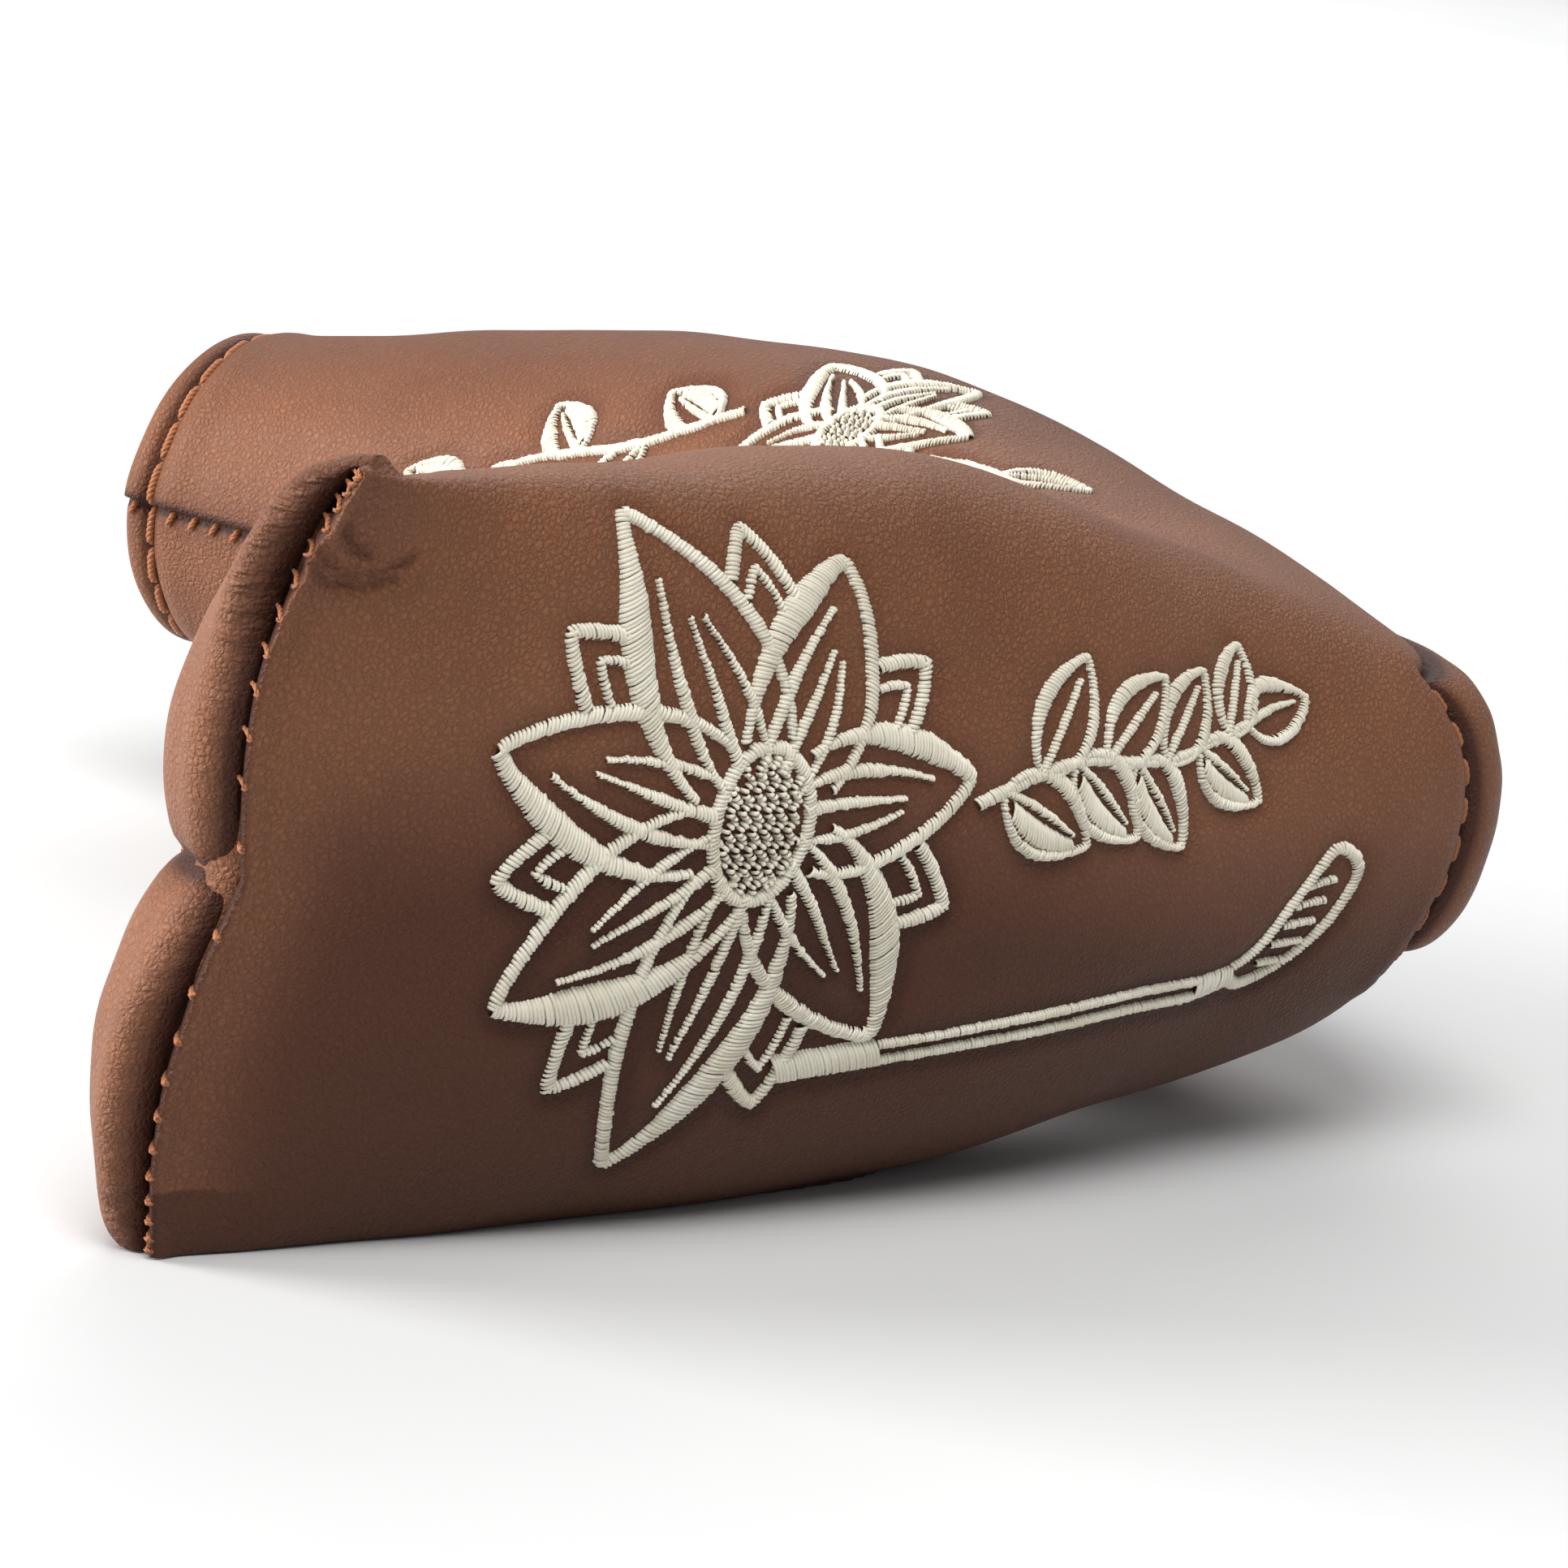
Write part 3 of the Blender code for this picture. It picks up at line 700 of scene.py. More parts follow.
def strand_mesh(name, strands, material):
    """Each strand is a closed thread that comes up out of the leather, crosses and goes down again."""
    count, steps = len(strands["at"]), len(STRAND_STEPS)
    radius = STRAND_RADIUS * random.uniform(0.9, 1.12, count)
    side = np.stack([-strands["across"][:, 1], strands["across"][:, 0]], -1)
    side /= np.maximum(np.linalg.norm(side, axis=1, keepdims=True), 1e-9)
    middle = strands["at"][:, None] + strands["across"][:, None] * STRAND_STEPS[None, :, None]
    height = (strands["crown"] * random.uniform(0.92, 1.08, count))[:, None]
    out = np.abs(STRAND_STEPS[None, :])
    height = height * (1 - out**2.6) - 0.22 * (out > 0.99)
    rings = []
    for beside, up in ((0, 1), (1, 0), (0, -1), (-1, 0)):
        at = middle + side[:, None] * (beside * radius)[:, None, None]
        u, angle = from_chart(at[..., 0], at[..., 1])
        rings.append(leather(u, angle, height + up * radius[:, None]))
    points = np.stack(rings, 2).reshape(-1, 3)
    first = np.arange(count)[:, None, None] * steps * 4
    i, k = np.arange(steps - 1)[None, :, None] * 4, np.arange(4)[None, None, :]
    after = (k + 1) % 4
    at = first + i
    quads = np.stack([at + k, at + after, at + 4 + after, at + 4 + k], -1).reshape(-1, 4)
    ends = np.arange(count)[:, None] * steps * 4 + np.arange(4)[None, :]
    far = (ends + (steps - 1) * 4)[:, ::-1]
    faces = np.concatenate([quads, ends[:, ::-1], far[:, ::-1]])
    return new_mesh(name, points, faces.tolist(), material)


def frame_along(line):
    """Directions along a line and two directions across it."""
    along = unit(np.gradient(line, axis=0))
    guide = np.zeros(3)
    guide[np.argmin(np.abs(along.mean(0)))] = 1.0
    side = unit(np.cross(along, guide))
    return along, side, np.cross(along, side)


def tube(points, radius, sides=7):
    """Points and faces of a closed thread along a line, thinner at its two ends."""
    points = np.asarray(points, float)
    _, side, up = frame_along(points)
    thin = np.ones(len(points))
    thin[0] = thin[-1] = 0.45
    turn = 2 * math.pi * np.arange(sides) / sides
    ring = side[:, None] * np.cos(turn)[None, :, None] + up[:, None] * np.sin(turn)[None, :, None]
    rim = points[:, None] + ring * (radius * thin)[:, None, None]
    faces = grid_faces(len(points), sides, closed=True).tolist()
    faces += [list(range(sides))[::-1], [(len(points) - 1) * sides + k for k in range(sides)]]
    return rim.reshape(-1, 3), faces


def plies(line, radius, turn_mm=1.9, count=3):
    """The centre lines of the yarns that are twisted into one thread."""
    _, side, up = frame_along(line)
    far = distance_along(line)
    for k in range(count):
        turn = (2 * math.pi * (far / turn_mm + k / count))[:, None]
        yield line + (side * np.cos(turn) + up * np.sin(turn)) * 0.5 * radius


def stitches(name, ends, radius, material, height=0.35, sink=0.8, over=leather, reach=24):
    """A row of stitches, each between two points of the chart. over(u, angle, lift) is what they lie on."""
    t = np.linspace(-1, 1, reach)
    ends = np.asarray(ends, float)
    middle, half = ends.mean(1), (ends[:, 1] - ends[:, 0]) / 2
    at = middle[:, None] + half[:, None] * t[None, :, None]
    at[..., 1] += random.normal(0, 0.06, len(ends))[:, None]
    lift = height - (height + sink) * np.abs(t) ** 6
    lines = over(*from_chart(at[..., 0], at[..., 1]), np.broadcast_to(lift, at.shape[:2]))
    points, faces, start = [], [], 0
    for line in lines:
        for ply in plies(line, radius):
            p, f = tube(ply, 0.6 * radius)
            faces += [[v + start for v in ring] for ring in f]
            points.append(p)
            start += len(p)
    return new_mesh(name, np.concatenate(points), faces, material)


# ======== the embroidered pictures, drawn in millimetres with x towards the heel and y up ========
def bulge(t):
    """Half the width of a petal or leaf along it, as a share of the widest."""
    return np.sin(math.pi * t**0.8) ** 0.75


def petal_edge(length, half_width, side, first=0.0, last=1.0, count=60):
    """One side of a petal that points along x, from its foot to its tip."""
    t = np.linspace(first, last, count)
    y = half_width * bulge(t) * side
    return np.stack([length * t, np.where(t > 0.999, 0.0, y)], -1)


def turned(points, angle_deg, origin=(0.0, 0.0)):
    c, s = math.cos(math.radians(angle_deg)), math.sin(math.radians(angle_deg))
    return np.asarray(points) @ np.array([[c, s], [-s, c]]) + origin


def inside_petal(points, length, half_width, angle_deg):
    local = turned(points, -angle_deg)
    t = np.clip(local[:, 0] / length, 0, 1)
    beside = np.abs(local[:, 1]) < half_width * bulge(t) + 0.9
    return (local[:, 0] > 0) & (local[:, 0] < length) & beside


def runs(line, keep):
    """The stretches of a line whose points are kept, if long enough to sew."""
    found, start = [], None
    for k, good in enumerate([*keep, False]):
        if good and start is None:
            start = k
        if not good and start is not None:
            if k - start > 6:
                found.append(line[start:k])
            start = None
    return found


def petal(length, half_width, angle_deg, heavy, hollow=3.0):
    """A petal in front: two outlines, one of them swelling, an inner line on each side and a vein."""
    parts = []
    first = hollow / length
    edges = [petal_edge(length, half_width, side, first) for side in (1, -1)]
    parts.append(satin(turned(edges[0], angle_deg), tapered(1.0, heavy, 1.7, 0.62)))
    parts.append(satin(turned(edges[1], angle_deg), tapered(1.0, 1.7, 1.5, 0.5), -SLANT_DEG))
    inner = petal_edge(length * 0.86, half_width * 0.50, 1, 0.16, 0.93)
    parts.append(satin(turned(inner, angle_deg), tapered(0.7, 1.5, 0.6, 0.4)))
    inner = petal_edge(length * 0.80, half_width * 0.42, -1, 0.2, 0.8)
    parts.append(satin(turned(inner, angle_deg), tapered(0.6, 1.1, 0.5, 0.4)))
    bow = np.linspace(0.2, 0.66, 30)
    vein = np.stack([length * bow, 0.5 * np.sin(6 * bow)], -1)
    parts.append(satin(turned(vein, angle_deg), tapered(1.6, 1.2, 0.5, 0.3)))
    return parts


def blossom(petals, oval):
    """A double flower with a knotted middle. petals is a list of (angle, length, half width, heavy width)."""
    parts = []
    front = [(length, half, angle) for angle, length, half, heavy in petals]
    for angle, length, half, heavy in petals:
        parts += petal(length, half, angle, heavy, oval[0] + 0.6)
    count = len(petals)
    for k in range(count):
        after = petals[(k + 1) % count]
        angle = petals[k][0] + ((after[0] - petals[k][0]) % 360) / 2
        length, half = 0.5 * (petals[k][1] + after[1]) * 0.93, 0.9 * petals[k][2]
        for side in (1, -1):
            for inset, width in ((1.0, 1.5), (0.72, 0.9)):
                line = turned(petal_edge(length * (0.5 + 0.5 * inset), half * inset, side, 0.3), angle)
                keep = ~np.any([inside_petal(line, *f) for f in front], axis=0)
                parts += [satin(run, width) for run in runs(line, keep)]
    turn = np.linspace(0, 2 * math.pi, 80)
    rim = np.stack([oval[0] * np.cos(turn), oval[1] * np.sin(turn)], -1)
    parts.append(satin(rim, 1.5))
    parts += knots(oval)
    return joined(parts)


def knots(oval):
    """Wavy rows of short fat stitches inside an oval."""
    parts = []
    for row in np.arange(-oval[0] + 1.7, oval[0] - 1.2, 1.45):
        reach = oval[1] * math.sqrt(max(1 - (row / (oval[0] - 0.6)) ** 2, 0)) - 0.9
        if reach < 1:
            continue
        y = np.arange(-reach, reach, 0.2)
        wavy = np.stack([row + 0.42 * np.sin(2 * math.pi * y / 1.9), y], -1)
        parts.append(satin(wavy, 0.75, slant_deg=0, crown=0.75, pitch=0.52))
    return parts


def leaf(at, angle_deg, length, half_width, filled):
    """A leaf: an outline and a vein, or one half filled with satin."""
    parts = []
    for side in (1, -1):
        edge = petal_edge(length, half_width, side, 0.02)
        width = tapered(0.8, 1.9 if side > 0 else 1.3, 0.9)
        parts.append(satin(turned(edge, angle_deg, at), width, SLANT_DEG * side))
    vein = np.stack([np.linspace(0, length * 0.8, 30), 0.3 * np.sin(np.linspace(0, 3, 30))], -1)
    parts.append(satin(turned(vein, angle_deg, at), tapered(1.0, 0.9, 0.5)))
    if filled:
        t = np.linspace(0.15, 0.85, 40)
        mid = np.stack([length * t, -0.5 * half_width * bulge(t)], -1)
        wide = lambda x: 0.25 + 0.62 * half_width * bulge(0.15 + 0.7 * x)
        parts.append(satin(turned(mid, angle_deg, at), wide, slant_deg=35, crown=0.4))
    return parts


def sprig(stem, leaves, length, half_width):
    """A stem with leaves on both sides of it and one at its tip."""
    line = curve(stem)
    parts = [satin(line, tapered(1.5, 1.2, 0.9))]
    marks = np.linspace(0.12, 0.9, leaves)
    for number, share in enumerate(marks):
        k = int(share * (len(line) - 2))
        heading = math.degrees(math.atan2(*(line[k + 1] - line[k])[::-1]))
        side = 1 if number % 2 else -1
        size = 1 - 0.25 * share
        parts += leaf(line[k], heading + 44 * side, length * size, half_width * size, number % 2 == 0)
    heading = math.degrees(math.atan2(*(line[-1] - line[-3])[::-1]))
    parts += leaf(line[-1], heading, length * 0.8, half_width * 0.75, False)
    return joined(parts)


def club():
    """A plain golf iron lying on its side: a two-line shaft, a ferrule, and a head with scored lines."""
    shaft = np.array([[0, 0], [16, 0.7], [32, 1.0], [46, 0.6]], float)
    parts = [satin(curve(shaft + (0, 0.95)), 1.1), satin(curve(shaft - (0, 0.95)), 1.1)]
    parts.append(satin([[-12, -0.6], [0, 0]], 3.6, slant_deg=30))
    parts.append(satin([[46, 0.5], [51, 1.2]], 3.2, slant_deg=10))
    sole = [[51, 1.0], [54, -0.2], [59, 1.5], [63.5, 6.5], [65, 12.0]]
    top = [[61, 14.5], [57, 9.5], [53.5, 4.2], [51, 2.4]]
    parts.append(satin(curve(sole + top), 1.5))
    for k in range(5):
        low = np.array([55.0 + 0.75 * k, 2.2 + 2.1 * k])
        parts.append(satin([low, low + (4.6 - 0.25 * k, -0.2 + 0.2 * k)], 0.9))
    return joined(parts)


FRONT_AT = (284.0, 5.5)
FRONT_PETALS = (
    (8, 26, 6.6, 3.0), (66, 27, 7.0, 3.4), (118, 33, 7.6, 3.8), (166, 30, 7.4, 3.0),
    (216, 30, 7.8, 4.6), (262, 36, 7.8, 3.8), (312, 30, 7.2, 3.6),
)
SIDE_AT = (104.0, 66.0)


def make_embroidery(material):
    pictures = {
        "blossom": moved(blossom(FRONT_PETALS, (5.6, 7.4)), *FRONT_AT),
        "buds": moved(sprig([[27, 1], [40, 4.5], [54, 4.0], [68, 7.0]], 8, 14.0, 3.9), *FRONT_AT),
        "club": moved(club(), FRONT_AT[0] - 22, FRONT_AT[1] - 24.5, 3.0),
        "side_blossom": joined([
            moved(blossom([(a, 19, 4.9, 2.4) for a in (20, 80, 140, 200, 260, 320)], (4.2, 4.6)), *SIDE_AT),
            moved(sprig([[0, 0], [14, 3], [30, 2], [40, 4]], 5, 11.0, 2.9), SIDE_AT[0] - 20, SIDE_AT[1] - 2),
            moved(sprig([[0, 0], [14, 3], [30, 1], [42, 3]], 5, 12.0, 3.1), SIDE_AT[0] + 20, SIDE_AT[1], 180),
        ]),
    }
    for strands in pictures.values():
        mark_sewn(strands)
    for name, strands in pictures.items():
        piece = strand_mesh("thread_" + name, strands, material)
        stand_for(piece, "cover", ["embroidery_" + name])


# ======== heel piece, flap, padding and lining ========
def domed(distances, width):
    """A pillow's height over a patch, 0 at its edges and 1 inside, for distances from each pair of edges."""
    height = 1.0
    for distance in distances:
        height = height * (1 - roll(distance, width))
    return height


def strip(stations, angles, rows, columns):
    """A grid over a part of the leather: u, angle, and distances from its ends and from its two sides."""
    u, a = np.meshgrid(np.linspace(*stations, rows), np.linspace(*angles, columns), indexing="ij")
    s, w = to_chart(u, a)
    ends = np.minimum(s - s.min(), s.max() - s)
    return u, a, ends, w - w[:, :1], w[:, -1:] - w


def make_heel_lobe(material):
    """The rolled piece that closes the heel, tucked under the edge of the main leather."""
    angles = (HEEL[0] + 0.8, HEEL[1] - 0.8)
    u, a, ends, low, high = strip((HEEL_START + 0.025, HEEL_SEAM - 0.025), angles, 150, 170)
    height = domed((ends, np.minimum(low, high)), 7.5)
    p = base(u, a)
    lift = -1.15 + 3.75 * height + 0.1 * height * waves(p, 7.0, 9)
    obj = closed_sheet("heel_lobe", above(u, a, lift), above(u, a, -1.7), material)
    # painted shade: darker near the lobe's edges, where it is tucked under, and on its hidden lower face
    paint(obj, "painted_shade", np.concatenate([0.9 * hump(np.minimum(ends, np.minimum(low, high)), 1.5).ravel(),
                                          np.full(u.size, 0.5)]))
    return obj


def flap_lift(u, angle):
    """Height of the flap's outer face above the leather."""
    s, w = to_chart(u, angle)
    s_low, s_high = np.interp(FLAP_STATIONS, CHART_U, CHART_S)
    ends = np.clip(np.minimum(s - s_low, s_high - s), 0, None)
    side = np.clip(w - to_chart(u, FLAP[0] - 1)[1], 0, None)
    height = domed((ends, side), 3.4)
    inset = np.minimum(ends, side)
    free = 0.95 + 3.05 * height + 0.75 * smooth((inset - 4.0) / 10.0) - 0.5 * hump(inset - FLAP_INSET, 0.8)
    sewn_down = smooth((angle - 37.0) / 9.0)
    margin = 0.62 - 0.25 * hump(angle - HINGE_ROW, 0.9) - 0.35 * smooth((angle - 48.8) / 1.2)
    return free + (margin - free) * sewn_down


def flap_floor(u, angle):
    """Height of the face of the flap's leather that lies towards the body."""
    s, w = to_chart(u, angle)
    s_low, s_high = np.interp(FLAP_STATIONS, CHART_U, CHART_S)
    inset = np.minimum(np.minimum(s - s_low, s_high - s), w - to_chart(u, FLAP[0] - 1)[1])
    free = 0.55 + 2.25 * smooth((inset - 0.4) / 0.7)
    free = free + (0.04 - free) * smooth((angle - 37.0) / 7.0)
    return np.minimum(free, flap_lift(u, angle) - 0.22)


def make_flap(brown, plush, foam):
    """The flap: its leather, which drops onto the body at the hinge, and the lining and filling inside it."""
    u, a, ends, low, _ = strip(FLAP_STATIONS, (FLAP[0] - 1, HINGE_MARGIN), 210, 200)
    top = flap_lift(u, a)
    cover = closed_sheet("flap_cover", above(u, a, top), above(u, a, flap_floor(u, a)), brown)
    inset = np.minimum(ends, low)
    # painted shade: darker along the stitch line's groove, at the flap's edges and at the hinge, and on its
    # hidden face
    dark = 0.6 * hump(inset - FLAP_INSET, 0.9) + 0.5 * hump(inset, 1.2)
    dark = np.clip(dark + 0.8 * hump(a - 49.6, 0.8) + 0.4 * hump(a - HINGE_ROW, 1.0), 0, 1)
    paint(cover, "painted_shade", np.concatenate([dark.ravel(), np.full(u.size, 0.5)]))
    middle = sum(FLAP_STATIONS) / 2
    hold = [Vector(placed(above(middle, angle, 1.5)).tolist()) for angle in (46.5, 37.5)]
    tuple(hold[0])
    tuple(hold[1])
    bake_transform(cover)
    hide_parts("flap_leather")
    u, a, ends, low, high = strip((FLAP_STATIONS[0] + 0.05, FLAP_STATIONS[1] - 0.06), (-57, 36.5), 120, 110)
    pillow = domed((ends, np.minimum(low, high)), 1.2)
    lining = closed_sheet("flap_plush", above(u, a, 1.25), above(u, a, 0.85 - 0.35 * pillow), plush)
    u, a, ends, low, high = strip((FLAP_STATIONS[0] + 0.12, FLAP_STATIONS[1] - 0.12), (-33, 35), 90, 80)
    pillow = domed((ends, np.minimum(low, high)), 3.0)
    filling = closed_sheet("flap_filling", above(u, a, 2.0 + 0.62 * pillow), above(u, a, 1.5), foam)
    stand_for(lining, "flap", ["flap_lining"])
    stand_for(filling, "flap", ["flap_padding"])


def make_flap_stitches(orange):
    """Rows along the flap's free edges, which swing with it, and one along its hinge, which stays."""
    on_flap = lambda u, angle, lift: above(u, angle, flap_lift(u, angle) + lift)
    w_at = lambda s, angle: float(to_chart(np.interp(s, CHART_S, CHART_U), angle)[1])
    s_low, s_high = np.interp(FLAP_STATIONS, CHART_U, CHART_S)
    half, edge = FLAP_STITCH / 2, FLAP[0] - 1
    free = []
    for s in np.arange(s_low + 7.0, s_high - 6.5, FLAP_PITCH):
        free.append([(s + d, w_at(s + d, edge) + FLAP_INSET) for d in (-half, half)])
    for s in (s_low + FLAP_INSET, s_high - FLAP_INSET):
        for w in np.arange(w_at(s, edge) + (FLAP_INSET + 2.6), w_at(s, 34), FLAP_PITCH):
            free.append([(s, w - half), (s, w + half)])
    fixed = []
    for s in np.arange(s_low + 4, s_high - 3, FLAP_PITCH):
        fixed.append([(s + d, w_at(s + d, HINGE_ROW)) for d in (-half, half)])
    seam = stitches("flap_stitches", free, 0.42, orange, over=on_flap)
    stand_for(seam, "flap", ["flap_topstitch"])
    seam = stitches("hinge_stitches", fixed, 0.42, orange, over=on_flap)
    stand_for(seam, "cover", [])


def make_layer(name, ends_out, ends_in, depths, cut, lumps, material):
    """A closed sleeve between two depths, open at the mouth. cut(u, angle) says which cells are left out.

    ends_out and ends_in give each face's first station and its last few.
    """
    a = np.arange(0, 360, COARSE)
    u_out, u_in = (np.concatenate([np.arange(first, 11.5, 0.1), last]) for first, last in (ends_out, ends_in))
    grids = []
    for u, depth in ((u_out, depths[0]), (u_in, depths[1])):
        p = base(u[:, None], a[None, :], depth + sunk(u[:, None], a[None, :]))
        grids.append(p + outward(u[:, None], a[None, :]) * (lumps * waves(p, 11.0, 21))[..., None])
    gone = cut(((u_out[:-1] + u_out[1:]) / 2)[:, None], (a + COARSE / 2)[None, :])
    ends = [grid[-1].mean(0)[None] for grid in grids]
    points = np.concatenate([*(grid.reshape(-1, 3) for grid in grids), *ends])
    faces = sleeve_faces(gone, len(u_out), len(a))
    points, faces, _ = without_loose(points, faces, np.zeros(len(points)))
    return new_mesh(name, points, faces, material)


def sleeve_faces(gone, rows, columns):
    """Faces of a sleeve's two grids of points, with walls round missing cells, closed at the last ring."""
    out = np.arange(rows * columns).reshape(rows, columns)
    inn = out + rows * columns
    missing = lambda i, j: not 0 <= i < rows - 1 or gone[i, j % columns]
    faces = []
    for i, j in zip(*np.nonzero(~gone)):
        k, n = (j + 1) % columns, i + 1
        faces.append([out[i, j], out[i, k], out[n, k], out[n, j]])
        faces.append([inn[i, j], inn[n, j], inn[n, k], inn[i, k]])
        if missing(i - 1, j):
            faces.append([out[i, k], out[i, j], inn[i, j], inn[i, k]])
        if missing(n, j) and n < rows - 1:
            faces.append([out[n, j], out[n, k], inn[n, k], inn[n, j]])
        if missing(i, j - 1):
            faces.append([out[i, j], out[n, j], inn[n, j], inn[i, j]])
        if missing(i, j + 1):
            faces.append([out[n, k], out[i, k], inn[i, k], inn[n, k]])
    centres = 2 * rows * columns
    for j in range(columns):
        k = (j + 1) % columns
        faces.append([out[-1, j], out[-1, k], centres])
        faces.append([inn[-1, k], inn[-1, j], centres + 1])
    return faces


def make_inside(plush, foam):
    slot = lambda u, a: (u < SLOT_END) & (signed(a) > SLOT[0]) & (signed(a) < SLOT[1])
    wide_slot = lambda u, a: (u < SLOT_END + 0.1) & (signed(a) > -75) & (signed(a) < SLOT[1] + 9)
    outer, inner = (0.12, [11.8, 11.9, 12.0]), (0.12, [11.6, 11.7, 11.8])
    lining = make_layer("plush_sleeve", outer, inner, (4.4, 5.3), slot, 0.12, plush)
    outer, inner = (0.55, [12.0, 12.25, 12.5]), (0.55, [11.8, 12.0, 12.2])
    filling = make_layer("foam_sleeve", outer, inner, (2.15, 3.9), wide_slot, 0.1, foam)
    stand_for(lining, "cover", ["plush_lining"])
    stand_for(filling, "cover", ["foam_padding"])


def make_seams(orange):
    """The rows of stitching on the body of the cover."""
    near_mouth = CHART_U[:30]
    hem_u = float(np.interp(HEM_WIDTH, NECK_LENGTH - base(near_mouth, 0.0)[:, 0], near_mouth))
    hem_s = float(to_chart(hem_u, 0.0)[0])
    first, last = (float(to_chart(hem_u, angle)[1]) for angle in (HINGE_MARGIN + 3, 179.9))
    under_first, under_last = (float(to_chart(hem_u, angle)[1]) for angle in (-180.0, FLAP[0] - 5))
    plain = lambda u, angle, lift: leather(u, angle, lift, embroidered=False)
    hem = []
    for low, high in ((first, last), (under_first, under_last)):
        marks = np.linspace(low, high, round((high - low) / HEM_STITCH) + 1)
        hem += [[(hem_s + 0.12, a + 0.2), (hem_s - 0.12, b - 0.2)] for a, b in zip(marks, marks[1:])]
    halfway = lambda s: float(to_chart(np.interp(s, CHART_S, CHART_U), -180.0)[1])
    ticks = [[(s + 0.2, halfway(s) + 0.1), (s - 0.35, halfway(s) + 1.75)]
             for s in [2.1, *np.arange(hem_s + 3.6, 330.0, STITCH_PITCH)]]
    toe, toe_hidden = [], []
    for angle in np.linspace(-72, 84, 24):
        s, w = (float(value) for value in to_chart(14.75, angle))
        if angle < 8:
            toe.append([(s + 0.9, w + 0.25), (s - 0.8, w - 0.25)])
        else:  # the upper half's stitches lie deep in the recess
            toe_hidden.append([(s - 0.1, w + 0.5), (s - 0.9, w - 0.4)])
    heel_s = float(np.interp(HEEL_SEAM, CHART_U, CHART_S)) + 0.45
    heel_w = [float(to_chart(HEEL_SEAM, angle)[1]) for angle in (HEEL[0] + 6, HEEL[1] - 6)]
    heel = [[(heel_s, w - 1.5), (heel_s, w + 1.5)] for w in np.arange(*heel_w, 4.2)]
    rows = (("collar_stitches", hem, 0.50, 0.42, "collar_topstitch"),
            ("centre_stitches", ticks, 0.34, 0.25, "centre_seam_thread"),
            ("toe_stitches", toe, 0.36, 0.12, "toe_seam_thread"),
            ("toe_stitches_upper", toe_hidden, 0.22, -0.12, "toe_seam_thread"),
            ("heel_stitches", heel, 0.42, 0.30, "heel_seam_thread"))
    for name, ends, radius, height, node in rows:
        row = stitches(name, ends, radius, orange, height, over=plain)
        stand_for(row, "cover", [node])


# ======== materials ========
class Nodes:
    """A material's node tree, built by short calls."""

    def __init__(self, name):
        self.material = bpy.data.materials.new(name)
        self.material.use_nodes = True
        self.tree = self.material.node_tree
        self.shader = self.tree.nodes["Principled BSDF"]

    def add(self, kind, values=(), **settings):
        node = self.tree.nodes.new(kind)
        for key, value in settings.items():
            setattr(node, key, value)
        for key, value in dict(values).items():
            self.put(node.inputs[key], value)
        return node

    def put(self, socket, value):
        if isinstance(value, bpy.types.NodeSocket):
            self.tree.links.new(value, socket)
        elif isinstance(value, (tuple, list)) and len(value) == 3 and socket.type == "RGBA":
            socket.default_value = (*value, 1.0)
        else:
            socket.default_value = value

    def math(self, operation, a, b=0.0, clamp=False):
        return self.add("ShaderNodeMath", {0: a, 1: b}, operation=operation, use_clamp=clamp).outputs[0]

    def mix(self, share, a, b, blend="MIX"):
        node = self.add("ShaderNodeMix", {}, data_type="RGBA", blend_type=blend)
        self.put(node.inputs[0], share)
        self.put(node.inputs[6], a)
        self.put(node.inputs[7], b)
        return node.outputs[2]

    def ramp(self, value, low, high):
        node = self.add("ShaderNodeMapRange", {0: value, 1: low, 2: high}, clamp=True)
        return node.outputs[0]

    def noise(self, coordinates, size_mm, detail=2.0, rough=0.5):
        values = {"Vector": coordinates, "Scale": 1000.0 / size_mm, "Detail": detail, "Roughness": rough}
        return self.add("ShaderNodeTexNoise", values).outputs[0]

    def coordinates(self):
        return self.add("ShaderNodeTexCoord").outputs["Object"]

    def attribute(self, name):
        return self.add("ShaderNodeAttribute", attribute_name=name).outputs["Fac"]

    def bump(self, height, strength, distance_mm, normal=None):
        values = {"Height": height, "Strength": strength, "Distance": distance_mm / 1000}
        if normal is not None:
            values["Normal"] = normal
        return self.add("ShaderNodeBump", values).outputs[0]

    def shade(self, **values):
        for key, value in values.items():
            self.put(self.shader.inputs[key.replace("_", " ")], value)
        return self.material


# the leather's colours: its body in three tones, then its painted shade, then the darkest brown, used deep in
# its grain and as painted shade in folds, wrinkles and where the shade is deepest
LEATHER_MID = (0.285, 0.112, 0.052)
LEATHER_DARK = (0.220, 0.080, 0.034)
LEATHER_WARM = (0.335, 0.124, 0.048)
LEATHER_PAINTED_SHADE = (0.062, 0.015, 0.004)
LEATHER_VALLEY_AND_SHADE = (0.036, 0.009, 0.003)
GRAIN, FINE_GRAIN, CRACKS = 0.72, 0.34, 1.05  # sizes of the leather's cells, mm


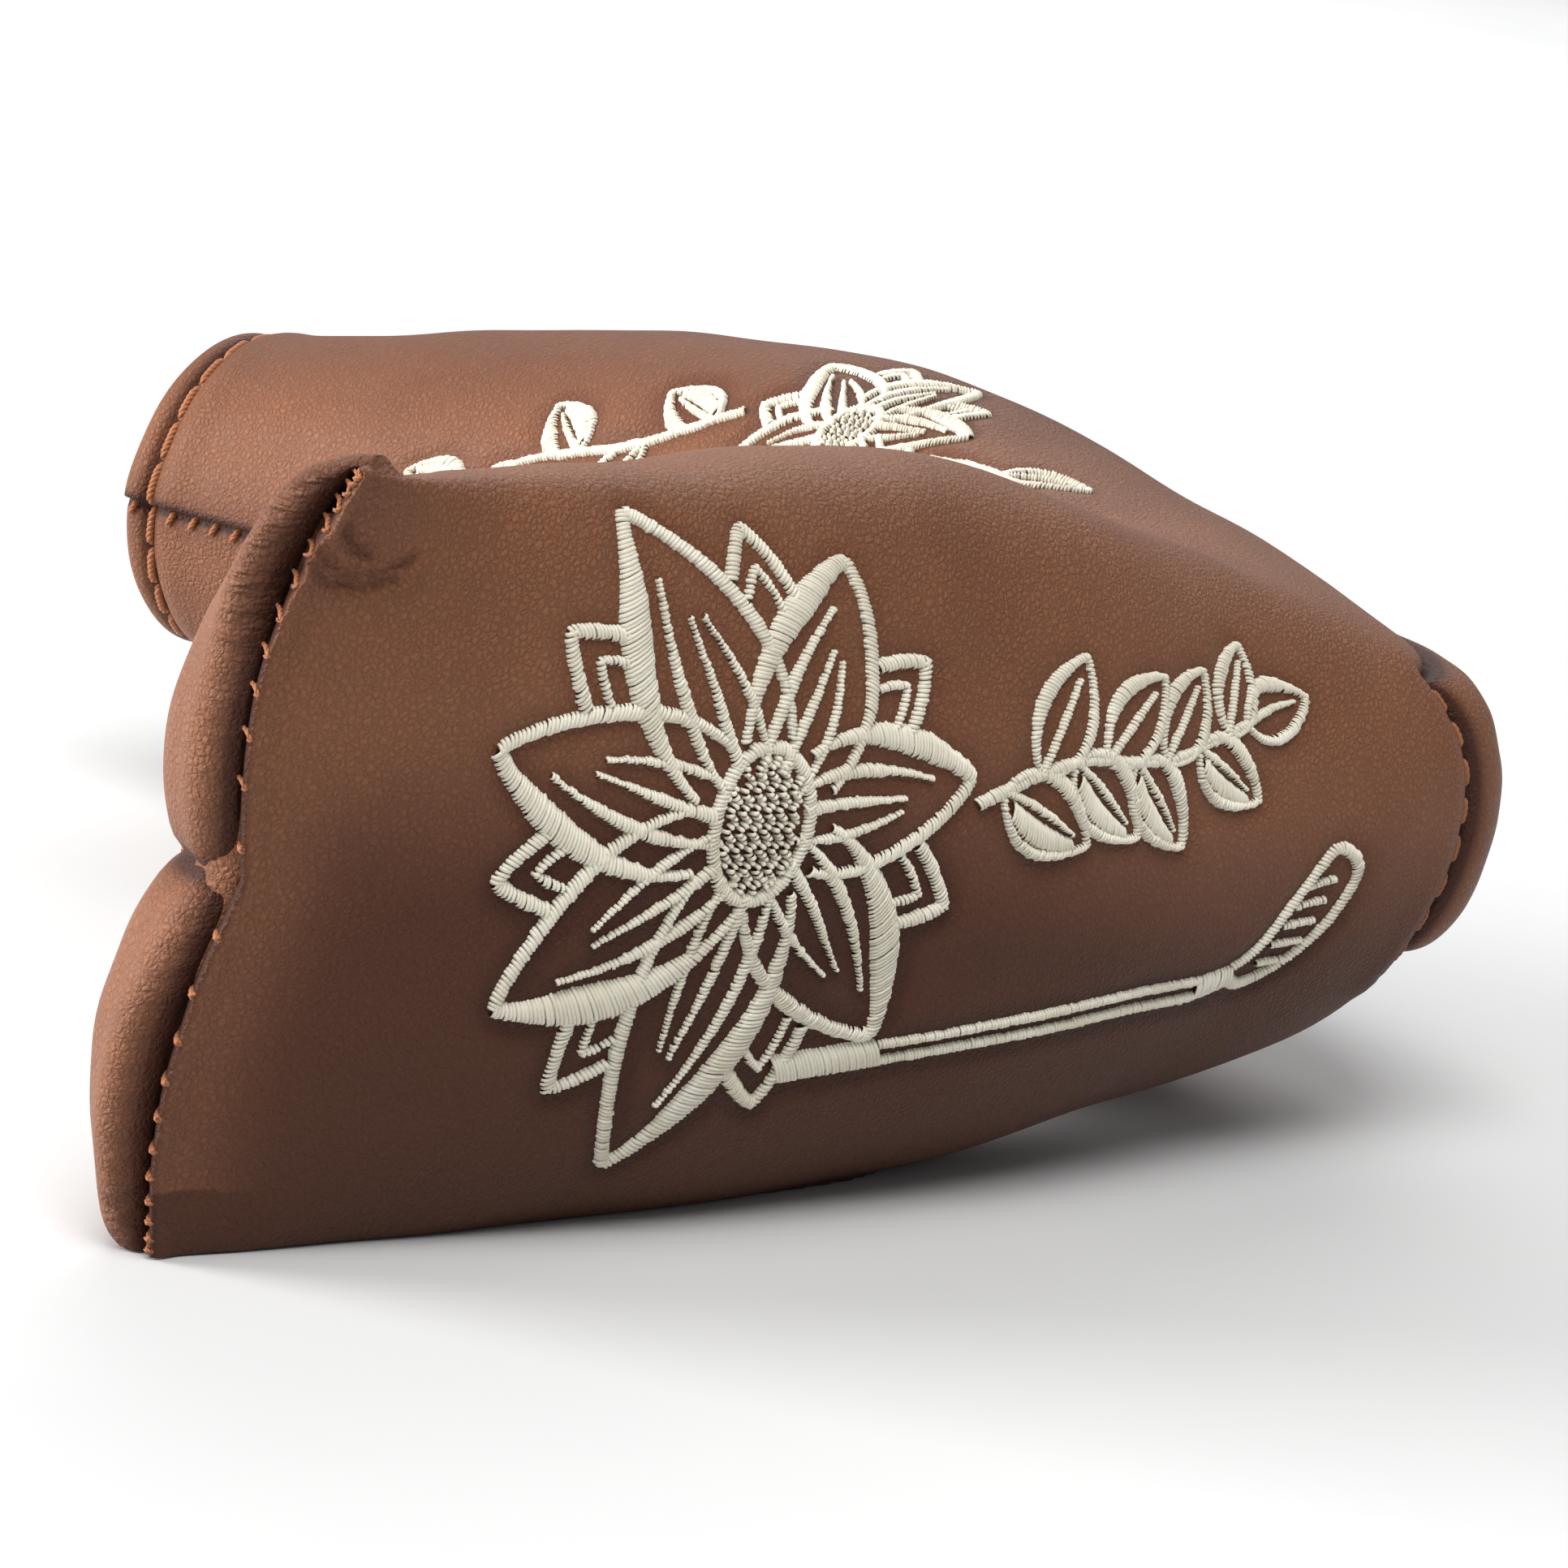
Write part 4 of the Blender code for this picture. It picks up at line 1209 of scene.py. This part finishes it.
def leather_material():
    """Full-grain leather: pebbles in two sizes, pores, folds and cracks, with painted shade along its seams,
    grooves and creases and on its lower parts.
    """
    t = Nodes("brown_leather")
    at = t.coordinates()
    warp = t.add("ShaderNodeTexNoise", {"Vector": at, "Scale": 900.0, "Detail": 1.0})
    bend = t.add("ShaderNodeVectorMath", {0: warp.outputs["Color"], "Scale": 0.00034}, operation="SCALE")
    drift = t.add("ShaderNodeVectorMath", {0: at, 1: bend.outputs[0]}, operation="ADD").outputs[0]

    def cells(size_mm, high, low=0.0):
        values = {"Vector": drift, "Scale": 1000.0 / size_mm, "Randomness": 1.0}
        edge = t.add("ShaderNodeTexVoronoi", values, feature="DISTANCE_TO_EDGE").outputs["Distance"]
        return t.ramp(edge, low, high)

    pebble, fine, coarse = cells(GRAIN, 0.36), cells(FINE_GRAIN, 0.4), cells(CRACKS, 0.18)
    shade_amount, wrinkled, cracked = (t.attribute(name) for name in ("painted_shade", "wrinkled", "cracked"))
    grain = t.math("ADD", t.math("MULTIPLY", pebble, 0.68), t.math("MULTIPLY", fine, 0.32))
    folds = t.math("MULTIPLY", t.math("SUBTRACT", coarse, 1.0), t.math("MULTIPLY", cracked, 1.1))
    across = t.add("ShaderNodeMapping", {"Vector": drift, "Scale": (0.22, 0.22, 1.0)}).outputs[0]
    radial = t.math("MULTIPLY", t.ramp(t.noise(across, 1.15, 2.0, 0.6), 0.3, 0.7), wrinkled)
    height = t.math("ADD", grain, t.math("MULTIPLY", t.noise(at, 0.15, 2.0), 0.3))
    height = t.math("ADD", t.math("ADD", height, folds), t.math("MULTIPLY", radial, 4.2))
    tone = t.ramp(t.noise(at, 46.0, 3.0, 0.55), 0.32, 0.68)
    colour = t.mix(tone, LEATHER_DARK, LEATHER_MID)
    colour = t.mix(t.math("MULTIPLY", t.ramp(t.noise(at, 9.0, 3.0), 0.4, 0.75), 0.35), colour, LEATHER_WARM)
    colour = t.mix(t.math("MULTIPLY", t.math("SUBTRACT", 1.0, grain), 0.42), colour, LEATHER_VALLEY_AND_SHADE)
    # painted shade in the folds of the cracks and in the hollows of the wrinkles
    colour = t.mix(t.math("MULTIPLY", t.math("MULTIPLY", folds, -1.0), 0.8), colour, LEATHER_VALLEY_AND_SHADE)
    colour = t.mix(t.math("MULTIPLY", t.math("SUBTRACT", wrinkled, radial), 0.4), colour, LEATHER_VALLEY_AND_SHADE)
    # painted shade, read from the mesh: a darker brown, then the darkest brown where it is strongest
    shaded = t.mix(t.math("MULTIPLY", shade_amount, 1.7, clamp=True), colour, LEATHER_PAINTED_SHADE)
    colour = t.mix(t.math("MULTIPLY", t.ramp(shade_amount, 0.45, 1.0), 0.85), shaded, LEATHER_VALLEY_AND_SHADE)
    rough = t.math("ADD", t.math("MULTIPLY", t.noise(at, 1.2, 2.0), 0.12), t.math("MULTIPLY", tone, 0.05))
    rough = t.math("ADD", rough, t.math("ADD", 0.40, t.math("MULTIPLY", shade_amount, 0.1)))
    return t.shade(Base_Color=colour, Roughness=rough, Normal=t.bump(height, 1.0, 0.21),
                   Specular_IOR_Level=0.24, Coat_Weight=0.06, Coat_Roughness=0.4,
                   Sheen_Weight=0.02, Sheen_Roughness=0.5, Sheen_Tint=(1.0, 0.85, 0.75))


def thread_material(name, colour, shade, gloss, size_mm):
    """Spun thread: fine fibres, a slight sheen, and darker where it has been handled."""
    t = Nodes(name)
    at = t.coordinates()
    tone = t.ramp(t.noise(at, 6.0, 3.0), 0.35, 0.7)
    fibre = t.noise(at, size_mm, 3.0, 0.7)
    colour = t.mix(t.math("MULTIPLY", tone, 0.6), colour, shade)
    colour = t.mix(t.math("MULTIPLY", t.ramp(fibre, 0.35, 0.6), 0.3), colour, shade)
    normal = t.bump(fibre, 0.5, 0.06)
    return t.shade(Base_Color=colour, Roughness=gloss, Normal=normal, Sheen_Weight=0.25, Sheen_Roughness=0.4,
                   Specular_IOR_Level=0.45)


def plush_material():
    """Short brown pile: tufts that catch the light at their tips."""
    t = Nodes("brown_plush")
    at = t.coordinates()
    tufts = t.noise(at, 0.5, 3.0, 0.7)
    patches = t.ramp(t.noise(at, 14.0, 2.0), 0.3, 0.7)
    colour = t.mix(patches, (0.070, 0.042, 0.028), (0.105, 0.066, 0.046))
    colour = t.mix(t.math("MULTIPLY", t.ramp(tufts, 0.62, 0.35), 0.7), colour, (0.028, 0.017, 0.012))
    height = t.math("ADD", tufts, t.math("MULTIPLY", t.noise(at, 0.16, 2.0), 0.5))
    return t.shade(Base_Color=colour, Roughness=0.95, Normal=t.bump(height, 0.9, 0.5), Sheen_Weight=0.7,
                   Sheen_Roughness=0.45, Specular_IOR_Level=0.1)


def foam_material():
    t = Nodes("white_foam")
    at = t.coordinates()
    cells = t.add("ShaderNodeTexVoronoi", {"Vector": at, "Scale": 1600.0}).outputs["Distance"]
    colour = t.mix(t.ramp(cells, 0.1, 0.7), (0.62, 0.58, 0.47), (0.80, 0.77, 0.68))
    return t.shade(Base_Color=colour, Roughness=0.9, Normal=t.bump(cells, 0.6, 0.2), Specular_IOR_Level=0.2)


def nickel_material():
    """Plated magnets, with faint turning marks and handling stains."""
    t = Nodes("nickel")
    at = t.coordinates()
    stain = t.ramp(t.noise(at, 1.6, 3.0), 0.35, 0.7)
    colour = t.mix(stain, (0.60, 0.60, 0.61), (0.50, 0.49, 0.48))
    rough = t.math("ADD", 0.24, t.math("MULTIPLY", stain, 0.14))
    normal = t.bump(t.noise(at, 0.3, 3.0), 0.2, 0.02)
    return t.shade(Base_Color=colour, Roughness=rough, Metallic=1.0, Normal=normal)


def floor_material():
    t = Nodes("pale_floor")
    patches = t.ramp(t.noise(t.coordinates(), 60.0, 3.0), 0.3, 0.7)
    tone = t.mix(patches, (0.63, 0.63, 0.63), (0.65, 0.65, 0.645))
    return t.shade(Base_Color=tone, Roughness=0.7)


# ======== camera, light and floor (metres, degrees, millimetres of film) ========
CAMERA_AT = (-0.2900, 0.4829, 0.1579)
CAMERA_AZIMUTH, CAMERA_DOWN, CAMERA_ROLL = 208.1, 12.6, 8.7
CAMERA_LENS, CAMERA_SENSOR = 128.57, 36.0


def make_camera():
    a, e, roll_by = (math.radians(v) for v in (CAMERA_AZIMUTH, CAMERA_DOWN, CAMERA_ROLL))
    forward = Vector((-math.sin(a) * math.cos(e), math.cos(a) * math.cos(e), -math.sin(e)))
    right = Vector((math.cos(a), math.sin(a), 0))
    up = right.cross(forward)
    turned = right * math.cos(roll_by) + up * math.sin(roll_by)
    up = -right * math.sin(roll_by) + up * math.cos(roll_by)
    camera = bpy.data.objects.new("camera", bpy.data.cameras.new("camera"))
    camera.data.lens, camera.data.sensor_width = CAMERA_LENS, CAMERA_SENSOR
    camera.data.clip_start, camera.data.clip_end = 0.01, 10
    camera.matrix_world = Matrix.Translation(CAMERA_AT) @ Matrix((turned, up, -forward)).transposed().to_4x4()
    bpy.context.scene.collection.objects.link(camera)
    bpy.context.scene.camera = camera


def make_light(name, at, size, watts, colour=(1, 1, 1), aim=(0, 0, 0.035)):
    light = bpy.data.lights.new(name, "AREA")
    light.shape, light.size, light.energy, light.color = "SQUARE", size, watts, colour
    lamp = bpy.data.objects.new(name, light)
    lamp.location = at
    lamp.rotation_euler = (Vector(aim) - Vector(at)).to_track_quat("-Z", "Y").to_euler()
    bpy.context.scene.collection.objects.link(lamp)


def make_stage():
    mesh = bpy.data.meshes.new("floor")
    half = 4.0
    corners = [(-half, -half, 0), (half, -half, 0), (half, half, 0), (-half, half, 0)]
    mesh.from_pydata(corners, [], [(0, 1, 2, 3)])
    mesh.materials.append(floor_material())
    floor = bpy.data.objects.new("floor", mesh)
    floor.location.z = -0.0002
    bpy.context.scene.collection.objects.link(floor)
    world = bpy.data.worlds.new("studio")
    world.use_nodes = True
    world.node_tree.nodes["Background"].inputs[0].default_value = (0.96, 0.98, 1.0, 1)
    world.node_tree.nodes["Background"].inputs[1].default_value = 0.24
    bpy.context.scene.world = world
    bpy.context.scene.view_settings.view_transform = "Standard"
    make_light("key", (2.05, 1.45, 0.72), 1.4, 118.0)
    make_light("top", (-0.40, 0.75, 1.75), 1.1, 35.0)
    make_light("backdrop", (0.75, -1.5, 1.2), 1.6, 24.0, aim=(0.75, -1.5, 0))


def main():
    make_camera()
    make_stage()
    brown = leather_material()
    cream = thread_material("cream_thread", (0.86, 0.82, 0.70), (0.66, 0.60, 0.46), 0.42, 0.16)
    orange = thread_material("orange_thread", (0.35, 0.112, 0.028), (0.22, 0.062, 0.014), 0.5, 0.14)
    plush, foam, nickel = plush_material(), foam_material(), nickel_material()
    make_embroidery(cream)
    stand_for(make_shell(brown), "cover", ["leather_body", "collar_facing"])
    stand_for(make_heel_lobe(brown), "cover", ["heel_panel"])
    make_flap(brown, plush, foam)
    make_flap_stitches(orange)
    make_inside(plush, foam)
    make_seams(orange)
    for name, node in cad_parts.items():
        if "magnet" in name:
            node.data.materials.clear()
            node.data.materials.append(nickel)


main()
